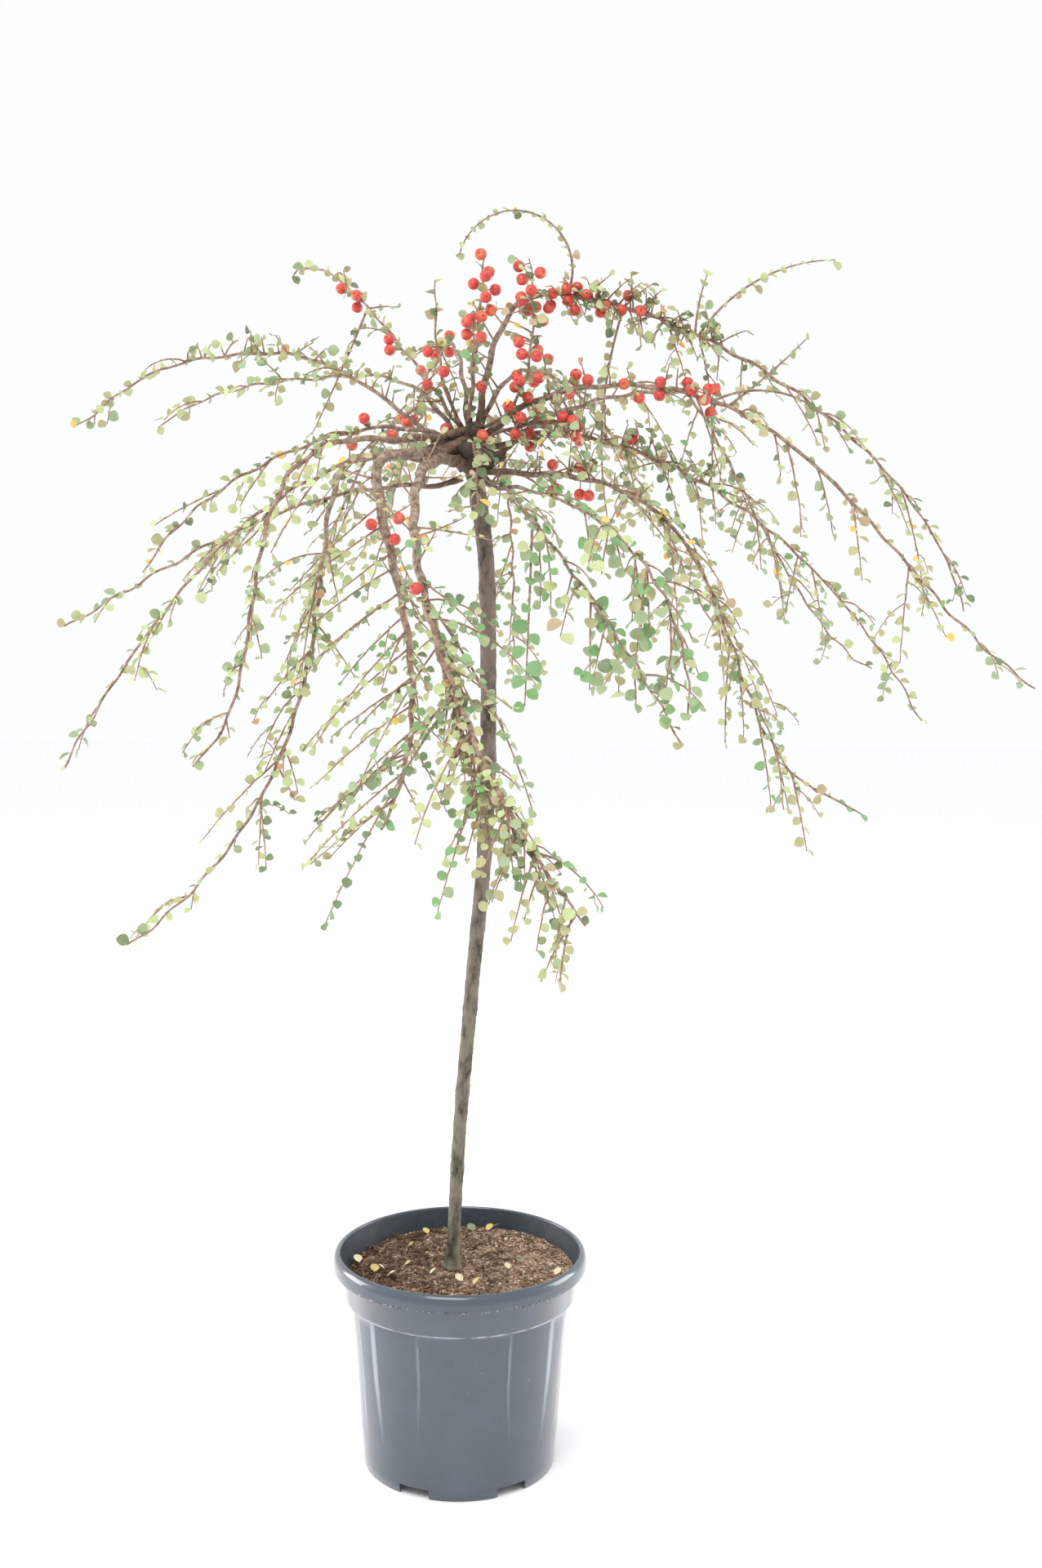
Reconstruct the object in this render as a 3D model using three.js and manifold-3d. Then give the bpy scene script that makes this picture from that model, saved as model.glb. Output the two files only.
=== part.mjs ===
// Potted standard cotoneaster: a weeping shrub grafted on top of a clear stem, in a round nursery pot.
// Millimetres, +Z up. The origin is the middle of the pot's underside, and the front view looks along +Y.
import * as THREE from "three";
import { mergeVertices } from "three/addons/utils/BufferGeometryUtils.js";
import Module from "manifold-3d";

const wasm = await Module();
wasm.setup();

// The gap between neighbouring pieces
const CLEARANCE = 0.3;

// Pot: a rolled rim, a plain shoulder band and a tapering wall that stands on a ring of feet
const POT_HEIGHT = 231;
const RIM_RADIUS = 134;
const RIM_DEPTH = 18;
const OPENING_RADIUS = 125.5;
const SHOULDER_RADIUS = 123;
const SHOULDER_DEPTH = 30;
const WALL_TOP_RADIUS = 117.5;
const BASE_RADIUS = 101;
const WALL = 2.5;
const FLOOR_HEIGHT = 12;
const PAD_RADIUS = 45;
const NOTCHES = 6;
const NOTCH_WIDTH = 34;
const NOTCH_HEIGHT = 10;
const FIRST_NOTCH = THREE.MathUtils.degToRad(4);
const POT_SIDES = 26;

// Soil: filled to a little below the rim, flat where the stem stands
const SOIL_HEIGHT = 205;
const SOIL_HUMP = 3;

// Stem: [x, y, z] places of its middle, from the soil to the graft
const STEM_PATH = [
  [-9, 10, SOIL_HEIGHT + CLEARANCE],
  [-2, 8, 345],
  [12, 5, 520],
  [26, 2, 690],
  [27, 1, 820],
  [21, 0, 985],
  [8, 0, 1062],
];
const STEM_RADIUS_LOW = 7;
const STEM_RADIUS_HIGH = 8.8;
const FLARE_RADIUS = 13;
const FLARE_HEIGHT = 16;
const FLARE_RINGS = [0, 0.012, 0.03, 0.06];
const STEM_SIDES = 8;
const STEM_RINGS = 12;

// Graft: the swollen head of the stem, which every bough springs from
const HEAD = new THREE.Vector3(8, 0, 1062);
const HEAD_RADIUS = 19;
const HEAD_HALF_HEIGHT = 32;
const HEAD_RINGS = 7;
// Shares of its half height: how far below its middle the stem runs in, and how far above it is cut level
const HEAD_NECK = 0.9;
const HEAD_TOP = 0.97;
const HEAD_GAP = CLEARANCE + 0.1;

// Limbs and foliage
const BOUGH_SIDES = 5;
const LEAFY_STEM_SIDES = 4;
const TWIG_SIDES = 3;
const BOUGH_STEP = 45;
const LEAFY_STEM_STEP = 74;
const CROWN_STEP = 37;
const SHOOT_STEPS = 5;
const TWIG_STEPS = 3;
const BOUGH_TAPER = 0.62;
const TIP_RADIUS = 1.2;
const TWIG_RADIUS = 1.5;
const SHOOT_RADIUS = 1.8;
const CROWN_RADIUS = 2.2;
const RISE_POINTS = 14;
const FALL_POINTS = 30;
const CROWN_POINTS = 12;
const STEM_POINTS = 24;

// What varies by seed is a pair: the least, and how much more at most. A twig's angle is in degrees from its
// parent, and its rise and droop are the upward pull at its root and the downward pull at its tip.
const TWIG_SPACING = 104;
const TWIG_FIRST = 0.35;
const TWIG_ANGLE = [38, 30];
const TWIG_RISE = [0.15, 0.35];
const TWIG_DROOP = 1.19;
const TWIG_LENGTH = [0.75, 0.5];
// Twigs are this share shorter at the tip of a stem than at its root
const TWIG_FADE = 0.45;
// A twig that would leave its space is tried again at these shares of its length, and then skipped
const TWIG_CUTS = [1, 0.7, 0.5];
const SPACE_MARGIN = 1.5;
const LIMB_MARGIN = 1.2;

// Leaves are two to three times life size, as each stands for a spray
const LEAF_LENGTH = 30;
const LEAF_WIDTH = 22;
const LEAF_WIDEST = 0.55;
const LEAF_THICKNESS = 0.8;
const LEAF_STEP = 45;
const LEAF_ANGLE = THREE.MathUtils.degToRad(60);
const LEAF_ROLL = [-0.385, 1.1];
const LEAF_SIZE = [0.85, 0.3];
const LEAF_PLACE = 0.8;
const LAST_LEAF = 0.985;
// The share of its length at which each kind of line has its first leaf
const LEAVES_FROM = { shoot: 0.15, stem: 0.04, twig: 0.12 };

// Berries sit on this stretch of a stem, with their middles this share of the radius above it
const BERRY_RADIUS = 7;
const BERRIES_FROM = 0.03;
const BERRIES_TO = 0.45;
const BERRY_LIFT = 0.75;
const BERRY_PLACE = [0.2, 0.6];
const BERRY_ANGLE = [30, 40];

// Where a bough leaves the middle of the head
const ROOT_REACH = 8;

// Seeds: the first mass has FIRST_SEED, and masses and the twigs on one mass are these steps apart
const FIRST_SEED = 7;
const MASS_SEEDS = 1000;
const TWIG_SEEDS = 101;

// Each bough rises from its root to a crest and falls over a shoulder to its tip. Places are [reach, height],
// and az is the way it points: 0 is +X and 90 is +Y. sweep turns it sideways on its way to the tip, lean
// makes the rise slower, hang is the slope at the tip and sway the length of that slope. The share limb of
// its length is bare wood and the rest is the stem of its mass of foliage, with side twigs about spread long.
// A shoot is [place, az, lift, bend, length], and berries is the number of berries on the mass.
const BOUGHS = {
  right_top: {
    az: 6, sweep: 0, root: 1084, lean: 0.18, crest: [75, 1218], shoulder: 280, tip: [515, 905],
    hang: 75, limb: 0.2, girth: 4.2, spread: 110, berries: 5,
    shoots: [[0.25, 180, 115, 190, 190], [0.44, 5, 57, 56, 165], [0.435, 0, 88, 17, 60],
      [0.33, 150, -70, 40, 270]],
  },
  right_long: {
    az: -8, sweep: 0, root: 1068, lean: 0.33, crest: [150, 1127], shoulder: 450, tip: [560, 835],
    hang: 33, limb: 0.2, girth: 4.4, spread: 100, berries: 4,
    shoots: [[0.395, 0, 36, -10, 100], [0.37, -10, 27, 91, 157]],
  },
  right_front: {
    az: -26, sweep: 0, root: 1046, lean: 0.35, crest: [65, 1040], shoulder: 440, tip: [370, 740],
    hang: 30, limb: 0.24, girth: 4, spread: 120, berries: 1,
    shoots: [[0.99, 10, -25, 5, 55]],
  },
  right_low: {
    az: 20, sweep: 0, root: 1060, lean: 0.74, crest: [80, 1082], shoulder: 335, tip: [530, 776],
    hang: 60, limb: 0.2, girth: 3.6, spread: 110, berries: 2, shoots: [],
  },
  right_back: {
    az: 34, sweep: 0, root: 1038, lean: 0.35, crest: [272, 1132], shoulder: 325, tip: [560, 825],
    hang: 22, limb: 0.26, girth: 3.6, spread: 110, berries: 1, shoots: [],
  },
  front_right: {
    az: -60, sweep: 6, root: 1062, lean: 0.35, crest: [55, 1030], shoulder: 90, tip: [330, 798],
    hang: 55, limb: 0.16, girth: 3, spread: 90, berries: 0,
    shoots: [[0.315, -100, -81, -5, 180]],
  },
  front_low: {
    az: -43, sweep: -16, root: 1038, lean: 0.35, crest: [48, 1026], shoulder: 195, tip: [380, 826],
    hang: 73, limb: 0.17, girth: 3, spread: 100, berries: 0, shoots: [],
  },
  front_sweep: {
    az: -120, sweep: 46, root: 1054, lean: 0.35, crest: [55, 1052], shoulder: 305, tip: [395, 657],
    hang: 48, limb: 0.42, girth: 4.6, spread: 130, berries: 1,
    shoots: [[0.45, -20, -50, 22, 215]],
  },
  front_hang: {
    az: -131, sweep: -4, root: 1070, lean: 0.42, crest: [104, 1056], shoulder: 240, tip: [120, 690],
    hang: 53, sway: 0.55, limb: 0.5, girth: 5, spread: 150, berries: 0, shoots: [],
  },
  left_steep: {
    az: 219, sweep: 0, root: 1082, lean: 0.35, crest: [125, 1070], shoulder: 390, tip: [320, 768],
    hang: 30, limb: 0.26, girth: 3.4, spread: 90, berries: 1, shoots: [],
  },
  left_long: {
    az: 207, sweep: 0, root: 1050, lean: 0.35, crest: [110, 1056], shoulder: 250, tip: [358, 590],
    hang: 32, sway: 0.6, limb: 0.3, girth: 4.2, spread: 120, berries: 0, shoots: [],
  },
  left_low: {
    az: 197, sweep: 0, root: 1062, lean: 0.35, crest: [50, 1061], shoulder: 290, tip: [405, 755],
    hang: 60, limb: 0.22, girth: 3.4, spread: 90, berries: 1, shoots: [],
  },
  left_wide: {
    az: 185, sweep: 0, root: 1036, lean: 0.35, crest: [48, 1028], shoulder: 250, tip: [405, 885],
    hang: 30, limb: 0.22, girth: 3.2, spread: 80, berries: 0, shoots: [],
  },
  left_short: {
    az: 173, sweep: 0, root: 1062, lean: 0.35, crest: [80, 1086], shoulder: 195, tip: [340, 940],
    hang: 60, limb: 0.24, girth: 3.2, spread: 70, berries: 1, shoots: [],
  },
  left_arch: {
    az: 161, sweep: 0, root: 1044, lean: 0.58, crest: [220, 1164], shoulder: 450, tip: [455, 1090],
    hang: 30, limb: 0.26, girth: 3.8, spread: 60, berries: 0, shoots: [],
  },
  left_upper: {
    az: 149, sweep: 0, root: 1054, lean: 0.28, crest: [130, 1141], shoulder: 290, tip: [410, 1095],
    hang: 30, limb: 0.28, girth: 3.2, spread: 60, berries: 1, shoots: [],
  },
  left_raised: {
    az: 136, sweep: 0, root: 1080, lean: 0.76, crest: [245, 1263], shoulder: 300, tip: [280, 1256],
    hang: 30, limb: 0.3, girth: 3.2, spread: 70, berries: 4,
    shoots: [[0.59, 150, -63, -5, 150]],
  },
  back_right: {
    az: 58, sweep: -8, root: 1066, lean: 0.4, crest: [110, 1150], shoulder: 330, tip: [450, 860],
    hang: 50, limb: 0.24, girth: 3.8, spread: 110, berries: 1, shoots: [],
  },
  back_steep: {
    az: 78, sweep: 6, root: 1048, lean: 0.4, crest: [70, 1105], shoulder: 260, tip: [400, 800],
    hang: 60, limb: 0.22, girth: 3.6, spread: 110, berries: 0, shoots: [],
  },
  back_arch: {
    az: 100, sweep: 8, root: 1074, lean: 0.4, crest: [130, 1180], shoulder: 340, tip: [450, 900],
    hang: 55, limb: 0.24, girth: 3.8, spread: 110, berries: 1, shoots: [],
  },
  back_left: {
    az: 122, sweep: 0, root: 1050, lean: 0.4, crest: [100, 1110], shoulder: 300, tip: [440, 810],
    hang: 55, limb: 0.24, girth: 3.6, spread: 110, berries: 1, shoots: [],
  },
};

// Short shoots that stand up out of the head itself: root, middle and tip
const CROWN = {
  crown_upright: { path: [[6, -6, 1088], [14, -22, 1160], [22, -24, 1250]], spread: 45, berries: 4 },
  crown_right: { path: [[16, -6, 1084], [62, -30, 1130], [66, -34, 1246]], spread: 55, berries: 5 },
  crown_left: { path: [[0, -4, 1086], [-22, -8, 1145], [-26, -12, 1228]], spread: 45, berries: 2 },
  crown_front: { path: [[20, -8, 1070], [65, -24, 1088], [122, -36, 1082]], spread: 45, berries: 3 },
  crown_low: { path: [[10, -16, 1062], [14, -60, 1062], [18, -105, 1000]], spread: 45, berries: 0 },
  crown_back: { path: [[8, 7, 1092], [10, 44, 1180], [12, 85, 1215]], spread: 55, berries: 1 },
};

const UP = new THREE.Vector3(0, 0, 1);

const MATERIALS = {
  pot: new THREE.MeshStandardMaterial({ color: 0x5a5e66, roughness: 0.45, metalness: 0 }),
  soil: new THREE.MeshStandardMaterial({ color: 0x5b4238, roughness: 0.95, metalness: 0 }),
  stem: new THREE.MeshStandardMaterial({ color: 0x7a7264, roughness: 0.85, metalness: 0 }),
  bough: new THREE.MeshStandardMaterial({ color: 0x6d5248, roughness: 0.8, metalness: 0 }),
  foliage: new THREE.MeshStandardMaterial({ color: 0x8c9f6c, roughness: 0.6, metalness: 0 }),
};

// A value that varies by seed, from a pair
const vary = ([least, more], rand) => least + more * rand();

// Seeded numbers from 0 to 1, the same in every run
function seeded(seed) {
  let state = seed >>> 0;
  return () => {
    state = (state + 0x6d2b79f5) >>> 0;
    let t = state;
    t = Math.imul(t ^ (t >>> 15), t | 1);
    t ^= t + Math.imul(t ^ (t >>> 7), t | 61);
    return ((t ^ (t >>> 14)) >>> 0) / 4294967296;
  };
}

// A closed geometry as a solid, turned to face out
function solidOf(geometry) {
  const bare = geometry.clone();
  bare.deleteAttribute("normal");
  bare.deleteAttribute("uv");
  const merged = mergeVertices(bare, 1e-3);
  const triVerts = new Uint32Array(merged.index.array);
  const vertProperties = new Float32Array(merged.attributes.position.array);
  const make = () => new wasm.Manifold(new wasm.Mesh({ numProp: 3, vertProperties, triVerts }));
  let solid = make();
  if (solid.volume() < 0) {
    for (let i = 0; i < triVerts.length; i += 3) {
      [triVerts[i + 1], triVerts[i + 2]] = [triVerts[i + 2], triVerts[i + 1]];
    }
    solid = make();
  }
  return solid;
}

function meshOf(solid, name, material) {
  const { vertProperties, triVerts } = solid.getMesh();
  const geometry = new THREE.BufferGeometry();
  geometry.setAttribute("position", new THREE.BufferAttribute(vertProperties, 3));
  geometry.setIndex(new THREE.BufferAttribute(triVerts, 1));
  geometry.computeVertexNormals();
  const mesh = new THREE.Mesh(geometry, material);
  mesh.name = name;
  return mesh;
}

// Rings of points joined into a closed skin with a flat cap at both ends
function skin(rings) {
  const sides = rings[0].length;
  const points = rings.flat();
  const faces = [];
  for (let i = 0; i + 1 < rings.length; i++) {
    for (let j = 0; j < sides; j++) {
      const a = i * sides + j;
      const b = i * sides + ((j + 1) % sides);
      faces.push(a, b, b + sides, a, b + sides, a + sides);
    }
  }
  const last = (rings.length - 1) * sides;
  for (let j = 1; j + 1 < sides; j++) {
    faces.push(0, j + 1, j);
    faces.push(last, last + j, last + j + 1);
  }
  const geometry = new THREE.BufferGeometry().setFromPoints(points);
  geometry.setIndex(faces);
  return geometry;
}

// A tapering limb through stations, each a place and the way the limb runs there. Its section has a flat
// or a slope to the left and right, where twigs and leaves come out
function limb(stations, radiusStart, radiusEnd, sides) {
  let across = new THREE.Vector3(-stations[0].along.y, stations[0].along.x, 0);
  if (across.length() < 0.05) across.set(1, 0, 0);
  const turn = sides % 2 ? Math.PI / 2 : Math.PI / sides;
  const rings = stations.map(({ place, along }, i) => {
    across = across.clone().addScaledVector(along, -across.dot(along)).normalize();
    const beside = along.clone().cross(across);
    const radius = THREE.MathUtils.lerp(radiusStart, radiusEnd, i / (stations.length - 1));
    return Array.from({ length: sides }, (_, j) => {
      const angle = turn + (2 * Math.PI * j) / sides;
      return place
        .clone()
        .addScaledVector(across, radius * Math.cos(angle))
        .addScaledVector(beside, radius * Math.sin(angle));
    });
  });
  return solidOf(skin(rings));
}

// A line of points that can be asked for a place, or a stretch, by its share of the length
class Line {
  constructor(points) {
    this.points = points;
    this.reach = [0];
    for (let i = 1; i < points.length; i++) {
      this.reach.push(this.reach[i - 1] + points[i].distanceTo(points[i - 1]));
    }
    this.length = this.reach.at(-1);
  }

  at(share) {
    const far = share * this.length;
    let i = 0;
    while (i < this.points.length - 2 && this.reach[i + 1] < far) i++;
    const from = this.points[i];
    const to = this.points[i + 1];
    const part = (far - this.reach[i]) / (this.reach[i + 1] - this.reach[i]);
    return { place: from.clone().lerp(to, part), along: to.clone().sub(from).normalize() };
  }

  // A station at each of its own points
  stations() {
    const last = this.points.length - 1;
    return this.points.map((place, i) => {
      const along = this.points[Math.min(i + 1, last)].clone().sub(this.points[Math.max(i - 1, 0)]);
      return { place, along: along.normalize() };
    });
  }

  // Stations at even steps from one share of the length to another
  stretch(start, end, step) {
    const count = Math.max(2, Math.round(((end - start) * this.length) / step));
    return Array.from({ length: count + 1 }, (_, i) => this.at(start + ((end - start) * i) / count));
  }

  distance(p) {
    let best = Infinity;
    for (let i = 1; i < this.points.length; i++) {
      const a = this.points[i - 1];
      const b = this.points[i];
      const dx = b.x - a.x;
      const dy = b.y - a.y;
      const dz = b.z - a.z;
      const px = p.x - a.x;
      const py = p.y - a.y;
      const pz = p.z - a.z;
      const t = THREE.MathUtils.clamp((px * dx + py * dy + pz * dz) / (dx * dx + dy * dy + dz * dz), 0, 1);
      best = Math.min(best, Math.hypot(px - t * dx, py - t * dy, pz - t * dz));
    }
    return best;
  }
}

// The unit vector for a compass direction and an angle above level
function aim(az, lift) {
  const a = THREE.MathUtils.degToRad(az);
  const l = THREE.MathUtils.degToRad(lift);
  return new THREE.Vector3(Math.cos(l) * Math.cos(a), Math.cos(l) * Math.sin(a), Math.sin(l));
}

// The middle line of a bough, from inside the head over its crest to its tip
function boughLine(row) {
  const [crestReach, crestHeight] = row.crest;
  const [tipReach, tipHeight] = row.tip;
  const root = new THREE.Vector2(ROOT_REACH, row.root);
  const crest = new THREE.Vector2(crestReach, crestHeight);
  const tip = new THREE.Vector2(tipReach, tipHeight);
  const lead = new THREE.Vector2(ROOT_REACH + row.lean * (crestReach - ROOT_REACH), crestHeight);
  const over = new THREE.Vector2(crestReach + ((row.shoulder - crestReach) * 2) / 3, crestHeight);
  const handle = crest.distanceTo(tip) * (row.sway ?? 1 / 3);
  const slope = THREE.MathUtils.degToRad(row.hang);
  const back = new THREE.Vector2(tipReach - handle * Math.cos(slope), tipHeight + handle * Math.sin(slope));
  const rise = new THREE.QuadraticBezierCurve(root, lead, crest).getPoints(RISE_POINTS);
  const fall = new THREE.CubicBezierCurve(crest, over, back, tip).getPoints(FALL_POINTS);
  const profile = [...rise, ...fall.slice(1)];
  let travelled = 0;
  const travel = profile.map((p, i) => (travelled += i ? p.distanceTo(profile[i - 1]) : 0));
  return new Line(
    profile.map((p, i) => {
      const way = aim(row.az + (row.sweep * travel[i]) / travelled, 0);
      return new THREE.Vector3(HEAD.x + p.x * way.x, HEAD.y + p.x * way.y, p.y);
    }),
  );
}

// A side shoot leaves a place at an angle and bends evenly down along its length
function shootLine(start, az, lift, bend, length) {
  const points = [start.clone()];
  for (let i = 0; i < SHOOT_STEPS; i++) {
    const step = aim(az, lift - (bend * (i + 0.5)) / SHOOT_STEPS).multiplyScalar(length / SHOOT_STEPS);
    points.push(points[i].clone().add(step));
  }
  return new Line(points);
}

// The middle line of a shoot that rises from the head through its middle place
function crownLine(path) {
  const [root, middle, tip] = path.map((p) => new THREE.Vector3(...p));
  const pull = middle.clone().multiplyScalar(2).sub(root.clone().add(tip).multiplyScalar(0.5));
  return new Line(new THREE.QuadraticBezierCurve3(root, pull, tip).getPoints(CROWN_POINTS));
}

// A twig leaves its parent at one side and bends over under its own weight
function twigLine(parent, share, side, reach, rand) {
  const { place, along } = parent.at(share);
  const level = new THREE.Vector3().crossVectors(along, UP);
  if (level.length() < 0.2) level.set(-along.y - 1e-3, along.x + 1, 0);
  level.normalize().multiplyScalar(side);
  const angle = THREE.MathUtils.degToRad(vary(TWIG_ANGLE, rand));
  const way = along.clone().multiplyScalar(Math.cos(angle)).addScaledVector(level, Math.sin(angle));
  way.z += vary(TWIG_RISE, rand);
  const length = reach * vary(TWIG_LENGTH, rand);
  const points = [place];
  for (let i = 0; i < TWIG_STEPS; i++) {
    const step = way.clone();
    step.z -= (TWIG_DROOP * (i + 0.5)) / TWIG_STEPS;
    step.normalize().multiplyScalar(length / TWIG_STEPS);
    points.push(points[i].clone().add(step));
  }
  return new Line(points);
}

// The blade of a leaf: a thick root inside the twig, two sides and a tip
function leafPoints(line, share, side, size, rand) {
  const { place, along } = line.at(share);
  const level = new THREE.Vector3().crossVectors(along, UP);
  if (level.length() < 0.2) level.set(1, 0, 0);
  level.normalize().multiplyScalar(side);
  const above = level.clone().cross(along).normalize().multiplyScalar(side);
  const roll = vary(LEAF_ROLL, rand);
  const out = level.multiplyScalar(Math.cos(roll)).addScaledVector(above, Math.sin(roll));
  const axis = along.clone().multiplyScalar(Math.cos(LEAF_ANGLE)).addScaledVector(out, Math.sin(LEAF_ANGLE));
  axis.normalize();
  const across = along.clone().addScaledVector(axis, -along.dot(axis)).normalize();
  const face = axis.clone().cross(across).multiplyScalar((LEAF_THICKNESS * size) / 2);
  const widest = place.clone().addScaledVector(axis, LEAF_LENGTH * size * LEAF_WIDEST);
  return {
    root: [place.clone().add(face), place.clone().sub(face)],
    sides: [
      widest.clone().addScaledVector(across, (LEAF_WIDTH * size) / 2),
      widest.clone().addScaledVector(across, (-LEAF_WIDTH * size) / 2),
    ],
    tip: place.clone().addScaledVector(axis, LEAF_LENGTH * size),
  };
}

function leafSolid({ root, sides, tip }) {
  const geometry = new THREE.BufferGeometry().setFromPoints([...root, ...sides, tip]);
  geometry.setIndex([0, 4, 2, 0, 3, 4, 1, 2, 4, 1, 4, 3, 0, 2, 1, 0, 1, 3]);
  return solidOf(geometry);
}

function berrySolid(centre) {
  const ball = new THREE.IcosahedronGeometry(BERRY_RADIUS, 0);
  ball.translate(centre.x, centre.y, centre.z);
  return solidOf(ball);
}

// Every limb's line with its radius, and the lines that own the space around each mass
const spaces = new Map();
const limbs = [];

function planSpaces() {
  for (const [name, row] of Object.entries(BOUGHS)) {
    const line = boughLine(row);
    const wood = line.stretch(0, row.limb, BOUGH_STEP);
    const stem = line.stretch(row.limb, 1, LEAFY_STEM_STEP);
    const leafy = new Line(stem.map(({ place }) => place));
    const shoots = row.shoots.map(([share, ...bend]) => {
      const root = leafy.at((share - row.limb) / (1 - row.limb)).place;
      return shootLine(root, ...bend);
    });
    spaces.set(name, { wood, stem, leafy, shoots, all: [line, ...shoots] });
    limbs.push({ line: new Line(wood.map(({ place }) => place)), radius: row.girth });
  }
  for (const [name, row] of Object.entries(CROWN)) {
    const stem = crownLine(row.path).stretch(0, 1, CROWN_STEP);
    const leafy = new Line(stem.map(({ place }) => place));
    spaces.set(name, { stem, leafy, shoots: [], all: [leafy] });
  }
  const trunk = new Line(stemCurve().getPoints(STEM_POINTS));
  spaces.set("trunk", { all: [trunk] });
  limbs.push({ line: trunk, radius: STEM_RADIUS_HIGH });
}

// A place is free for a mass when it is nearer to the mass's own lines than to any other, and off every limb
function isFree(p, owner) {
  const nearest = (lines) => Math.min(...lines.map((line) => line.distance(p)));
  const own = nearest(spaces.get(owner).all);
  for (const [name, space] of spaces) {
    if (name !== owner && nearest(space.all) < own + 2 * SPACE_MARGIN) return false;
  }
  const head = Math.hypot(p.x - HEAD.x, p.y - HEAD.y, ((p.z - HEAD.z) * HEAD_RADIUS) / HEAD_HALF_HEIGHT);
  if (head < HEAD_RADIUS + LIMB_MARGIN) return false;
  return limbs.every(({ line, radius }) => line.distance(p) > radius + LIMB_MARGIN);
}

// Leaves in two rows along a line, from a start share to the tip, with a last one at the tip
function leavesOn(line, start, owner, rand) {
  const pieces = [];
  const count = Math.max(1, Math.round(((1 - start) * line.length) / LEAF_STEP));
  for (let i = 0; i < count; i++) {
    const share = Math.min(start + ((1 - start) * (i + LEAF_PLACE)) / count, LAST_LEAF);
    const leaf = leafPoints(line, share, i % 2 ? 1 : -1, vary(LEAF_SIZE, rand), rand);
    const middle = leaf.tip.clone().lerp(leaf.root[0], 0.5);
    if ([...leaf.sides, leaf.tip, middle].every((p) => isFree(p, owner))) pieces.push(leafSolid(leaf));
  }
  return pieces;
}

// Berries stand close above a line
function berriesOn(line, count, owner, rand) {
  const pieces = [];
  for (let i = 0; i < count; i++) {
    const share = BERRIES_FROM + ((BERRIES_TO - BERRIES_FROM) * (i + vary(BERRY_PLACE, rand))) / count;
    const way = aim(360 * rand(), vary(BERRY_ANGLE, rand));
    const centre = line.at(share).place.addScaledVector(way, BERRY_RADIUS * BERRY_LIFT);
    const clear = aim(0, 90).multiplyScalar(BERRY_RADIUS).add(centre);
    if (isFree(centre, owner) && isFree(clear, owner)) pieces.push(berrySolid(centre));
  }
  return pieces;
}

// A mass of foliage: the leafy end of a bough with its side twigs, leaves and berries in one piece
function foliage(owner, row, radius, seed) {
  const { stem, leafy, shoots } = spaces.get(owner);
  const rand = seeded(seed);
  const pieces = [];
  for (const shoot of shoots) {
    pieces.push(limb(shoot.stations(), SHOOT_RADIUS, TIP_RADIUS, TWIG_SIDES));
    pieces.push(...leavesOn(shoot, LEAVES_FROM.shoot, owner, rand));
  }
  pieces.push(...leavesOn(leafy, LEAVES_FROM.stem, owner, rand));
  const twigs = Math.max(2, Math.round(leafy.length / TWIG_SPACING));
  for (let i = 0; i < twigs; i++) {
    const reach = row.spread * (1 - (TWIG_FADE * i) / twigs);
    const share = (i + TWIG_FIRST) / twigs;
    const own = seeded(seed + TWIG_SEEDS * (i + 1));
    const tries = TWIG_CUTS.map((cut) => twigLine(leafy, share, i % 2 ? 1 : -1, reach * cut, own));
    const twig = tries.find(({ points }) => points.slice(1).every((p) => isFree(p, owner)));
    if (!twig) continue;
    pieces.push(limb(twig.stations(), TWIG_RADIUS, TIP_RADIUS, TWIG_SIDES));
    pieces.push(...leavesOn(twig, LEAVES_FROM.twig, owner, own));
  }
  pieces.push(...berriesOn(leafy, row.berries, owner, rand));
  const bare = limb(stem, radius, TIP_RADIUS, LEAFY_STEM_SIDES);
  const joined = pieces.reduce((whole, piece) => whole.add(piece), bare);
  return joined.decompose().reduce((a, b) => (a.volume() > b.volume() ? a : b));
}

function stemCurve() {
  return new THREE.CatmullRomCurve3(STEM_PATH.map((p) => new THREE.Vector3(...p)));
}

// The stem with its root flare and the swollen graft, as level rings from a flat cut at the soil
function stemSolid(grow = 0) {
  const curve = stemCurve();
  const low = STEM_PATH[0][2];
  const neck = HEAD.z - HEAD_HALF_HEIGHT * HEAD_NECK;
  const flared = FLARE_RINGS.at(-1);
  const heights = [...FLARE_RINGS];
  for (let i = 1; i <= STEM_RINGS; i++) heights.push(flared + ((1 - flared) * i) / STEM_RINGS);
  const middle = (z) => {
    let t = (z - low) / (HEAD.z - low);
    for (let i = 0; i < 6; i++) t += (z - curve.getPoint(t).z) / (HEAD.z - low);
    return curve.getPoint(THREE.MathUtils.clamp(t, 0, 1));
  };
  const ring = (x, y, z, radius) =>
    Array.from({ length: STEM_SIDES }, (_, j) => {
      const angle = (2 * Math.PI * j) / STEM_SIDES;
      const r = radius + grow;
      return new THREE.Vector3(x + r * Math.cos(angle), y + r * Math.sin(angle), z);
    });
  const rings = heights.map((share) => {
    const z = low + share * (neck - low);
    const flare = (FLARE_RADIUS - STEM_RADIUS_LOW) * Math.exp((low - z) / FLARE_HEIGHT);
    const radius = STEM_RADIUS_LOW + (STEM_RADIUS_HIGH - STEM_RADIUS_LOW) * share + flare;
    const { x, y } = middle(z);
    return ring(x, y, z, radius);
  });
  for (let i = 1; i <= HEAD_RINGS; i++) {
    const turn = -HEAD_NECK + ((HEAD_NECK + HEAD_TOP) * i) / HEAD_RINGS;
    const z = HEAD.z + HEAD_HALF_HEIGHT * turn;
    const { x, y } = middle(Math.min(z, HEAD.z));
    rings.push(ring(x, y, z + grow, HEAD_RADIUS * Math.sqrt(1 - turn * turn)));
  }
  return solidOf(skin(rings));
}

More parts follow.
